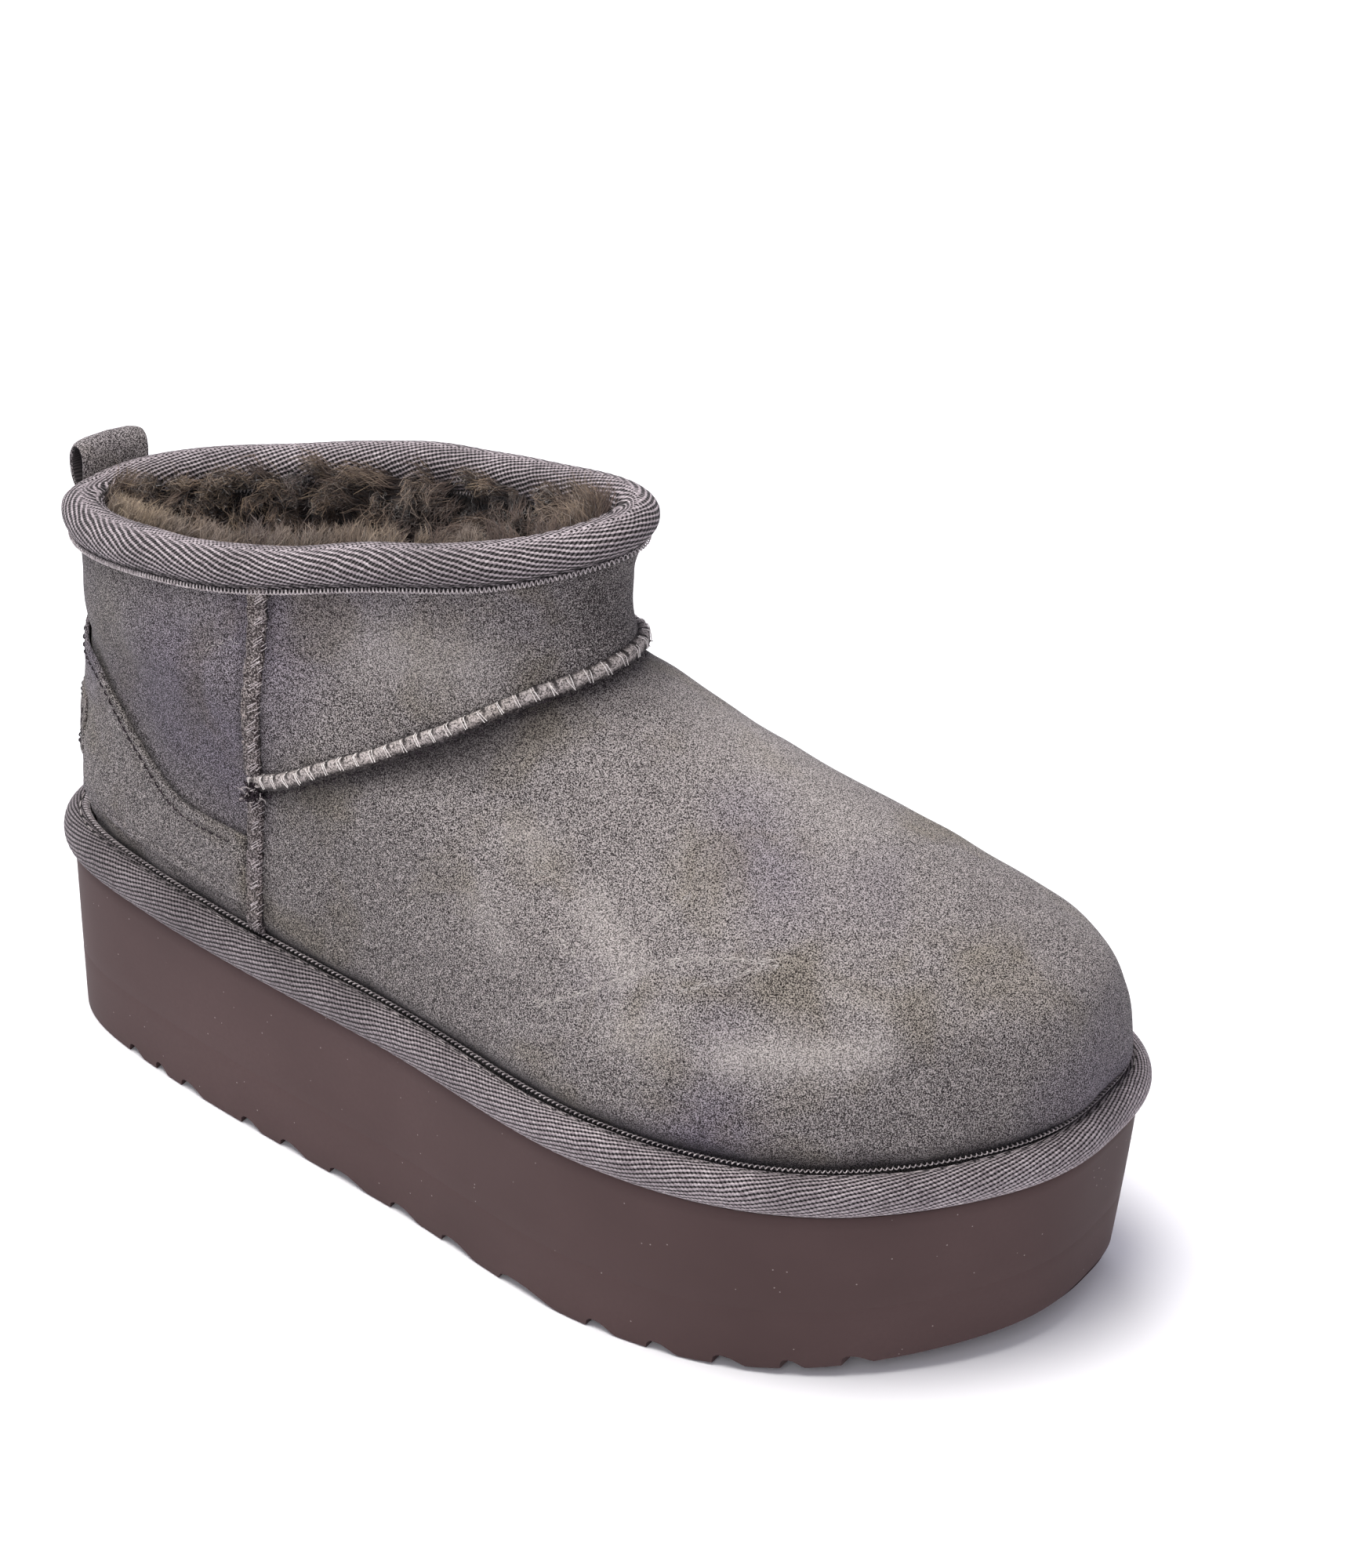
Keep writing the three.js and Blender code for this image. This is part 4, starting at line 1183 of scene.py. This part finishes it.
def makeCollar():
    rows, faceRows = 58, 50

    def across(v):
        row = np.round(v * rows)
        t = np.where(row <= faceRows, row / faceRows, 1 - (row - faceRows) / (rows - faceRows))
        return row <= faceRows, t, t * collarWidth - collarWidth / 2

    def place(u, v):
        face, t, reach = across(v)
        section = np.interp(t * collarWidth, collarRun, collarT)
        a, b = collarSection(section)
        a1, b1 = collarSection(np.clip(section + 0.01, 0, 1))
        a0, b0 = collarSection(np.clip(section - 0.01, 0, 1))
        size = np.hypot(b1 - b0, a1 - a0)
        nx, ny = (b1 - b0) / size, -(a1 - a0) / size
        angle = collarAngle(u)
        # the tape bunches inside the two tight bends
        pucker = 0.35 * tightBends(angle, 0.55, 0.1) * np.cos(u * collarLength / 3.6 * tau)
        pucker *= smoothStep(reach, 0.5, 5)
        edge = np.minimum(t, 1 - t) * collarWidth
        rib = collar["ribHeight"] * ribHeight(u * collarLength, reach, collarWarp(angle, reach), collarSizes)
        puff = 0.35 * waves(besideRim(angle, a * 0, b * 0) + b[:, None] * 0.4, 14, 51)
        puff *= smoothStep(edge, 0, 4)
        lift = np.where(face, rib * smoothStep(edge, 1, 2.5) + pucker + puff, -0.9)
        points = besideRim(angle, a + nx * lift, b + ny * lift)
        points[:, 2] += rimWave(angle)
        return points

    def marks(u, v):
        face, t, reach = across(v)
        edge = t * collarWidth
        run = u * collarLength
        # painted shade: a dark line above the loops, and the first 1.5 mm from the outer edge darkened
        slot = np.exp(-((edge - 2.15) / 0.62) ** 4) * (0.8 + 0.2 * np.sign(np.sin(run * tau / 1.9)))
        behind = 0.8 * (edge < 1.5)
        return {"gap": np.clip(slot + behind, 0, 0.96) * face, "warp": collarWarp(collarAngle(u), reach)}

    size = (collarLength * mm, collarWidth * mm * rows / faceRows)
    return gridMesh("collarTape", 640, rows, place, size=size, marks=marks)


def rimWave(angle):  # the rim isn't quite even: how far it rises or falls, in mm
    turned = (angle + math.pi) % tau - math.pi
    return 0.35 * np.sin(angle * 3 + 1.1) + 0.25 * np.sin(angle * 7) - 1.5 * np.exp(-(turned / 0.3) ** 2)


def coilPath(pathOf, wide, tall, count):
    # a thread wound along an edge: overlocked loops
    t = np.linspace(0, 1, count * 6, endpoint=False)
    points, normals, sides = pathOf(t)
    turn = t * count * tau
    rise = tall * np.sin(turn) + 0.0175 * np.cos(turn)
    return points + sides * (wide * np.cos(turn))[:, None] + normals * rise[:, None]


def makeCollarLoops():
    made = []
    for outer in (True, False):
        def pathOf(t):
            angle = collarAngle(t)
            a, b = collarSection(np.full(t.shape, 0.0 if outer else 1.0))
            a, b = (a + 0.3, b + 0.35) if outer else (a + 0.35, b - 0.3)
            points = besideRim(angle, a, b)
            points[:, 2] += rimWave(angle)
            normals = flat(lastNormal(angle, 1.0)) * (1 if outer else -1)
            return points, normals, np.tile([0.0, 0, 1.0], (len(t), 1))
        made.append(coilPath(pathOf, 0.62, 0.4, int(collarLength / collar["loopPitch"])))
    return threadMesh("collarLoops", made, 0.18, closed=True)


collarTwill = twillTape("twillTapeCollar", tapeLook, collarSizes, collarWidth / 2)
finishPiece(makeCollar(), collarTwill, ["collar_binding"])
finishPiece(makeCollarLoops(), selvedgeYarn)

weltRoll = {
    "width": 7.4,  # mm
    "height": 10.2,
    "ribHeight": 0.2,
    "loopPitch": 1.35,
    "stitch": 2.6,
    "stitchGap": 1.3,
    "slots": 1.68,  # turns round the roll, in radians
    "loops": 2.02,
}


def weltPoint(angle, turn, lift=0.0):  # turn 0 is the outermost line, a quarter turn is the top
    across = weltRoll["width"] / 2 * (1 - (1 + lift / 3.7) * np.cos(turn))
    up = weltRoll["height"] / 2 * (1 + (1 + lift / 5.1) * np.sin(turn))
    x, y = insetPoint(welt, angle, across)
    return np.stack([x, y, topOfSole(x) + last["gap"] + up], -1)


weltAngle, weltLength = evenAngles(lambda a: weltPoint(a, np.full(a.shape, 0.5)))
weltLook = {**tapeLook, "rib": 1.0, "bead": 0.95, "slope": 13, "dark": 0.45}
weltSizes = ribSizes(weltLength, weltLook)
weltWidth = 17.0  # mm of tape that shows, from under the roll to the inner edge
weltTurns = (-1.35, 2.35)


def makeWelt():
    rows, faceRows = 52, 44

    def across(v):
        row = np.round(v * rows)
        t = row / faceRows
        low, high = weltTurns
        behind = high + (tau - (high - low)) * (row - faceRows) / (rows - faceRows)
        return row <= faceRows, np.where(row <= faceRows, low + (high - low) * t, behind), t * weltWidth

    def warp(angle, reach):
        place = np.stack([np.cos(angle) * 140, np.sin(angle) * 55, reach], -1)
        return 0.3 * waves(place, 16, 63)

    def place(u, v):
        face, turn, reach = across(v)
        angle = weltAngle(u)
        edge = np.minimum(reach, weltWidth - reach)
        rib = weltRoll["ribHeight"] * ribHeight(u * weltLength, reach, warp(angle, reach), weltSizes)
        lump = 0.3 * waves(weltPoint(angle, np.full(angle.shape, 0.5)), 17, 61)
        lift = np.where(face, rib * smoothStep(edge, 1, 3) + lump * smoothStep(turn, -0.6, 0.6), 0)
        lift -= face * 0.7 * np.exp(-((turn - weltRoll["slots"]) / 0.07) ** 2)
        return weltPoint(angle, turn, lift)

    def marks(u, v):
        face, turn, reach = across(v)
        # the stitches sink into the tape: dark slots of painted shade with a little tape between them
        part = (u * weltLength / 3.9) % 1
        slot = np.exp(-((turn - weltRoll["slots"]) / 0.075) ** 2)
        slot *= 0.35 + 0.6 * smoothStep(np.abs(part - 0.5), 0.08, 0.2)
        # painted shade at the inner edge against the upper, under the roll, and along the outer side near the
        # heel
        inner = 0.85 * smoothStep(turn, weltRoll["loops"] + 0.1, weltRoll["loops"] + 0.25)
        outer = 0.6 * smoothStep(-turn, 0.75, 1.2)
        left = 0.34 * smoothStep(-np.abs(weltAngle(u) - 0.6), -1.3, -0.6)
        plain = np.clip(slot + inner + outer + left, 0, 0.95) * face
        return {"gap": plain, "warp": warp(weltAngle(u), reach)}

    size = (weltLength * mm, weltWidth * mm * rows / faceRows)
    return gridMesh("weltTape", 840, rows, place, size=size, marks=marks)


def weltPath(turn, lift):  # a line along the welt, its normals and the way in from it
    def pathOf(t):
        angle = weltAngle(t)
        turns = np.full(t.shape, turn)
        points = weltPoint(angle, turns, lift)
        normals = unit(weltPoint(angle, turns, 1.0) - weltPoint(angle, turns, 0.0))
        along = unit(weltPoint(angle + 0.01, turns) - weltPoint(angle - 0.01, turns))
        return points, normals, unit(np.cross(along, normals))
    return pathOf


def makeWeltLoops():
    path = coilPath(weltPath(weltRoll["loops"], 0.9), 0.85, 0.3, int(weltLength / weltRoll["loopPitch"]))
    return threadMesh("weltLoops", [path], 0.15, closed=True)


def makeWeltThreads():
    points, normals, _ = weltPath(weltRoll["slots"] - 0.02, -0.35)(np.linspace(0, 1, 6000))
    paths = runningStitches(points, normals, weltRoll["stitch"], weltRoll["stitchGap"], 0.35, 62)
    return threadMesh("weltThreads", paths, 0.17)


weltTwill = twillTape("twillTapeWelt", weltLook, weltSizes, -9.0)
finishPiece(makeWelt(), weltTwill, ["welt_binding"])
finishPiece(makeWeltLoops(), selvedgeYarn)
finishPiece(makeWeltThreads(), greyThread)


# Sole
sole = {
    "inset": 2.6,  # mm in from the welt's edge, at the top of the wall
    "foot": 4.2,  # and at its foot
    "toeTaper": 2.6,  # mm more that the wall leans in under the toe
    "channelDepth": 2.6,
    "mouldLine": 0.38,  # how far up the parting line runs
    "channels": ((29, 35), (39, 44), (48, 57), (69, 77), (82, 92), (98, 112), (118, 129), (135, 148),
                 (154, 174), (181, 190), (197, 206), (213, 222), (228, 234), (240, 247)),  # from, to
}


def makeSole():
    # share of the way out from the middle line, inset of the wall and height up the wall, row by row
    low, high = sole["foot"], sole["inset"]
    wallRows = (0.1, 0.2, 0.3, 0.365, 0.377, 0.383, 0.395, 0.5, 0.65, 0.8, 0.92)
    section = [(0, 0, 0), (0.5, 0, 0), (0.85, 0, 0)]
    section += [(1, low + 0.7, 0), (1, low + 0.15, 0.006), (1, low, 0.018)]
    section += [(1, low + (high - low) * h, h) for h in wallRows]
    section += [(1, high, 0.985), (1, high + 0.3, 1.0), (0.8, 3, 1), (0.4, 3, 1), (0, 3, 1)]
    section = np.array(section)
    rows = len(section) - 1

    def place(u, v):
        row = np.round(v * rows).astype(int)
        out, inset, up = section[row].T
        angle = u * tau
        ahead = outlinePoint(welt, angle)[0]
        inset = inset + sole["toeTaper"] * smoothStep(ahead, 160, 262) * (1 - up) ** 1.3 * (up < 0.98)
        x, y = insetPoint(welt, angle, inset + low * (out < 1) * (up < 0.5))
        mirrorX, mirrorY = insetPoint(welt, tau - angle, inset + low * (out < 1) * (up < 0.5))
        middle = (y + mirrorY) / 2
        x = x + (mirrorX - x) * 0.5 * (1 - out)
        y = middle + (y - middle) * out
        bottom = underside(x)
        z = bottom + (topOfSole(x) - bottom) * up
        line = 0.1 * np.exp(-((up - sole["mouldLine"]) / 0.008) ** 2)
        points = np.stack([x, y, z], -1)
        rim = np.stack([*insetPoint(welt, angle, inset), z], -1)
        side = np.stack([*insetPoint(welt, angle, inset + 1), z], -1) - rim
        soft = 0.12 * waves(points, 40, 71) * (up > 0.05) * (up < 0.95)
        return points + unit(side) * ((line - soft) * (out >= 1))[:, None] * np.array([1, 1, 0])

    piece = gridMesh("platformSole", 320, rows, place)
    bpy.context.scene.collection.objects.link(piece)
    cutters = bmesh.new()
    for start, end in sole["channels"]:
        run, deep = end - start, sole["channelDepth"]
        base = float(underside((start + end) / 2))
        profile = [(0, -2), (0.08 * run, 0.7 * deep), (0.18 * run, 0.98 * deep), (0.32 * run, 1.02 * deep),
                   (0.5 * run, 0.9 * deep), (0.72 * run, 0.55 * deep), (run, 0), (1.06 * run, -2)]
        made = []
        for x, z in profile:
            co = (np.array([start + x, -90, base + z]) + np.array(last["shift"])) * mm
            made.append(cutters.verts.new(co))
        face = cutters.faces.new(made)
        wall = bmesh.ops.extrude_face_region(cutters, geom=[face])
        far = [g for g in wall["geom"] if isinstance(g, bmesh.types.BMVert)]
        bmesh.ops.translate(cutters, vec=(0, 0.18, 0), verts=far)
    bmesh.ops.recalc_face_normals(cutters, faces=cutters.faces)
    mesh = bpy.data.meshes.new("channels")
    cutters.to_mesh(mesh)
    cutters.free()
    cutter = bpy.data.objects.new("channels", mesh)
    bpy.context.scene.collection.objects.link(cutter)
    cut = piece.modifiers.new("tread", "BOOLEAN")
    cut.operation, cut.solver, cut.object = "DIFFERENCE", "EXACT", cutter
    carved = bpy.data.meshes.new_from_object(piece.evaluated_get(bpy.context.evaluated_depsgraph_get()))
    piece.modifiers.clear()
    bpy.data.objects.remove(cutter)
    bpy.context.scene.collection.objects.unlink(piece)
    piece.data = carved
    piece.data.name = "platformSole"
    for polygon in piece.data.polygons:
        polygon.use_smooth = True
    piece.data.set_sharp_from_angle(angle=math.radians(35))
    return piece


finishPiece(makeSole(), foam, ["sole"])


# Fleece
wool = {
    "depth": 7.6,  # mm from the outside of the wall to the roots' mean level
    "lump": 1.7,
    "tuft": 7.0,
    "length": 10.5,
    "width": 0.28,
    "segments": 4,
}


def woolPoint(angle, share, extra=0.0):  # on the lumpy mat of roots that lines the wall
    wall = np.minimum(wool["depth"], 6.4 + 40 * (1 - share))
    points = wallPoint(angle, np.clip(share, 0.001, 0.999), wall)
    lump = wool["lump"] * waves(points, wool["tuft"], 81) + 0.7 * waves(points, 2.6, 82)
    lump *= 1 - 0.6 * smoothStep(share, 0.93, 1.0)
    return points - lastNormal(angle, np.clip(share, 0.01, 0.99)) * (lump + extra)[..., None]


def makeFleece():
    rows = 110

    def place(u, v):
        share = 0.985 - 0.93 * v
        return woolPoint(u * tau, share)

    def marks(u, v):
        share = 0.985 - 0.93 * v
        points = wallPoint(u * tau, share, np.full(u.shape, wool["depth"]))
        lump = waves(points, wool["tuft"], 81)
        # painted shade: darker in the lumps' hollows and deeper than share 0.6
        return {"crown": np.clip(0.45 + 0.35 * lump - 0.25 * (share < 0.6), 0, 1)}

    return gridMesh("fleeceLining", 260, rows, place, marks=marks)


def ribbonLocks(name, roots, directions, curls, lengths, widths, shades, segments, seed):
    # curved tapered ribbons, one for each lock of wool
    rng = np.random.default_rng(seed)
    count = len(roots)
    t = np.linspace(0, 1, segments + 1)
    side = unit(np.cross(directions, rng.normal(size=(count, 3))))
    third = np.cross(directions, side)
    phase = rng.uniform(0, tau, count)
    turns = rng.uniform(0.5, 1.3, count)
    points = roots[:, None] + directions[:, None] * (lengths[:, None] * t)[..., None]
    swirl = curls[:, None] * t ** 1.2 * lengths[:, None] * 0.22
    points += side[:, None] * (swirl * np.cos(turns[:, None] * tau * t + phase[:, None]))[..., None]
    points += third[:, None] * (swirl * np.sin(turns[:, None] * tau * t + phase[:, None]))[..., None]
    tangent = unit(np.gradient(points, axis=1))
    broad = unit(np.cross(tangent, unit(rng.normal(size=(count, 3)) + np.array([0.6, -0.9, 0.7]))[:, None]))
    half = (widths[:, None] * (1 - 0.85 * t ** 1.6) / 2)[..., None]
    ribbon = np.stack([points - broad * half, points + broad * half], 2)
    co = ((ribbon + np.array(last["shift"])) * mm).reshape(-1, 3)
    per = 2 * (segments + 1)
    quad = np.array([[2 * k, 2 * k + 1, 2 * k + 3, 2 * k + 2] for k in range(segments)])
    faces = (np.arange(count)[:, None, None] * per + quad[None]).reshape(-1, 4)
    mesh = bpy.data.meshes.new(name)
    mesh.vertices.add(len(co))
    mesh.vertices.foreach_set("co", co.ravel())
    mesh.loops.add(faces.size)
    mesh.loops.foreach_set("vertex_index", faces.ravel().astype(np.int32))
    mesh.polygons.add(len(faces))
    mesh.polygons.foreach_set("loop_start", np.arange(0, faces.size, 4, dtype=np.int32))
    mesh.polygons.foreach_set("use_smooth", np.ones(len(faces), bool))
    mesh.update(calc_edges=True)
    reach = np.repeat(np.tile(t, count), 2).astype(np.float32)
    shade = np.repeat(shades, per).astype(np.float32)
    mesh.attributes.new("reach", "FLOAT", "POINT").data.foreach_set("value", reach)
    mesh.attributes.new("shade", "FLOAT", "POINT").data.foreach_set("value", shade)
    return bpy.data.objects.new(name, mesh)


def clearOfUpper(roots, directions, lengths):  # which locks don't run into the wall
    starts = (roots + np.array(last["shift"])) * mm
    free = [upperTree.ray_cast(start, heading, reach * mm)[0] is None
            for start, heading, reach in zip(starts.tolist(), directions.tolist(), (lengths * 1.1).tolist())]
    return np.array(free)


def makeLocks(name, count, low, high, angles, seed, standing=0.75, length=1.0, rise=0.25, pale=(0.05, 1.0)):
    # locks gather into tufts: every tuft has its own lean, and its tips draw together
    rng = np.random.default_rng(seed)
    angle = rng.uniform(*angles, count)
    share = low + (high - low) * rng.uniform(0, 1, count) ** 0.85
    roots = woolPoint(angle, share, -0.3)
    normal = -lastNormal(angle, np.clip(share, 0.02, 0.98))
    tufts = max(8, count // 60)
    pick = rng.choice(count, tufts, replace=False)
    centres = roots[pick]
    lean = unit(rng.normal(size=(tufts, 3)) * 0.75 + normal[pick] * standing + np.array([0, 0, rise]))
    inward = (lean * normal[pick]).sum(1)
    lean = unit(lean + normal[pick] * np.maximum(0, 0.45 - inward)[:, None])
    nearest = np.empty(count, int)
    for start in range(0, count, 4000):
        gap = roots[start:start + 4000, None] - centres[None]
        nearest[start:start + 4000] = (gap ** 2).sum(-1).argmin(1)
    lengths = wool["length"] * length * rng.uniform(0.55, 1.1, count)
    tips = centres[nearest] + lean[nearest] * lengths[:, None]
    stray = rng.normal(size=(count, 3)) * 0.4
    own = roots + unit(normal * standing + stray + np.array([0, 0, rise])) * lengths[:, None]
    directions = unit(tips * 0.7 + own * 0.3 - roots)
    tuftShade = rng.uniform(*pale, tufts) ** 1.4
    shades = np.clip(tuftShade[nearest] + rng.normal(0, 0.22, count), 0, 1)
    widths = wool["width"] * rng.uniform(0.6, 1.2, count)
    free = clearOfUpper(roots, directions, lengths)
    curls = rng.uniform(0.3, 1.1, count)
    return ribbonLocks(name, *(part[free] for part in (roots, directions, curls, lengths, widths, shades)),
                       wool["segments"], seed + 1)


finishPiece(makeFleece(), woolBase)
for name, count, low, high, seed, length in (("fleeceLocksRim", 15000, 0.9, 0.985, 91, 1.0),
                                             ("fleeceLocksShaft", 16000, 0.72, 0.93, 92, 1.05),
                                             ("fleeceLocksDeep", 11000, 0.4, 0.78, 93, 1.1)):
    locks = makeLocks(name, count, low, high, (0, tau), seed, 0.8, length, 0.5 if low > 0.8 else 0.25)
    finishPiece(locks, woolStrand)
# paler locks that stand up behind the rim on the outer side
fringe = makeLocks("fleeceFringe", 7500, 0.955, 0.985, (0.55, 2.3), 94, 0.5, 0.8, 1.2, (0.3, 1.0))
finishPiece(fringe, woolFringe)


def footbedPoint(angle, out):
    inset = last["featherInset"] + last["wall"] + 0.9
    x, y = insetPoint(welt, angle, inset)
    mirrorX, mirrorY = insetPoint(welt, tau - angle, inset)
    middle = (y + mirrorY) / 2
    x = x + (mirrorX - x) * 0.5 * (1 - out)
    return x, middle + (y - middle) * out


def makeFootbed():
    section = [(0, 0.4), (1, 0.4), (1, 4.0), (0.985, 5.6), (0.93, 6.3)]
    section = np.array(section + [(out, 6.6) for out in (0.8, 0.6, 0.4, 0.2, 0)])
    rows = len(section) - 1

    def place(u, v):
        out, up = section[np.round(v * rows).astype(int)].T
        x, y = footbedPoint(u * tau, out)
        points = np.stack([x, y, topOfSole(x) + up], -1)
        points[:, 2] += (up > 5) * (0.6 * waves(points, 5, 95) + 0.3 * waves(points, 2, 96))
        return points

    def marks(u, v):
        x, y = footbedPoint(u * tau, section[np.round(v * rows).astype(int)][:, 0])
        # painted shade: darker between the lumps
        return {"crown": np.clip(0.5 + 0.35 * waves(np.stack([x, y, x * 0], -1), 5, 95), 0, 1)}

    return gridMesh("footbedFleece", 240, rows, place, marks=marks)


def makeFootbedLocks():
    rng = np.random.default_rng(97)
    count = 3500
    angle, out = rng.uniform(0, tau, count), np.sqrt(rng.uniform(0, 0.96, count))
    x, y = footbedPoint(angle, out)
    roots = np.stack([x, y, topOfSole(x) + 6.0], -1)
    directions = unit(rng.normal(size=(count, 3)) * 0.75 + np.array([0.2, 0, 0.7]))
    lengths = 5.0 * rng.uniform(0.6, 1.1, count)
    return ribbonLocks("footbedLocks", roots, directions, rng.uniform(0.5, 1.5, count), lengths,
                       np.full(count, 0.4), rng.uniform(0.1, 0.9, count), 4, 98)


finishPiece(makeFootbed(), woolBase, ["insole"])
finishPiece(makeFootbedLocks(), woolStrand)


# Floor and light
studio = {
    "floor": "#f6f6f8",
    "sky": "#eceafa",
    "skyStrength": 0.5,
    "lamps": (  # name, place, size, power in watts and colour
        ("overhead", (-0.2, -0.3, 1.6), 1.2, 36, "#fffdf9"),
        ("front", (0.5, -1.6, 1.1), 1.2, 7, "#ffffff"),
        ("rear", (-1.2, 0.9, 1.0), 1.0, 7, "#f4f4ff"),
    ),
}


def addStage(s):
    bm = bmesh.new()
    bmesh.ops.create_grid(bm, x_segments=1, y_segments=1, size=6)
    mesh = bpy.data.meshes.new("floor")
    bm.to_mesh(mesh)
    bm.free()
    floor = bpy.data.objects.new("floor", mesh)
    material, add = startMaterial("paintedFloor")
    add("OutputMaterial", {0: add("BsdfPrincipled", {"Base Color": colour(s["floor"]), "Roughness": 0.9})})
    mesh.materials.append(material)
    bpy.context.scene.collection.objects.link(floor)
    world = bpy.data.worlds.new("sky")
    world.use_nodes = True
    world.node_tree.nodes["Background"].inputs[0].default_value = colour(s["sky"])
    world.node_tree.nodes["Background"].inputs[1].default_value = s["skyStrength"]
    bpy.context.scene.world = world
    for name, place, size, power, tint in s["lamps"]:
        data = bpy.data.lights.new(name, "AREA")
        data.shape, data.size, data.energy = "DISK", size, power
        data.color = colour(tint)[:3]
        lamp = bpy.data.objects.new(name, data)
        towards = Vector((0, 0, 0.08)) - Vector(place)
        lamp.matrix_world = Matrix.Translation(place) @ towards.to_track_quat("-Z", "Y").to_matrix().to_4x4()
        bpy.context.scene.collection.objects.link(lamp)
    bpy.context.scene.view_settings.view_transform = "Standard"


addStage(studio)
print("floor and lamps set")

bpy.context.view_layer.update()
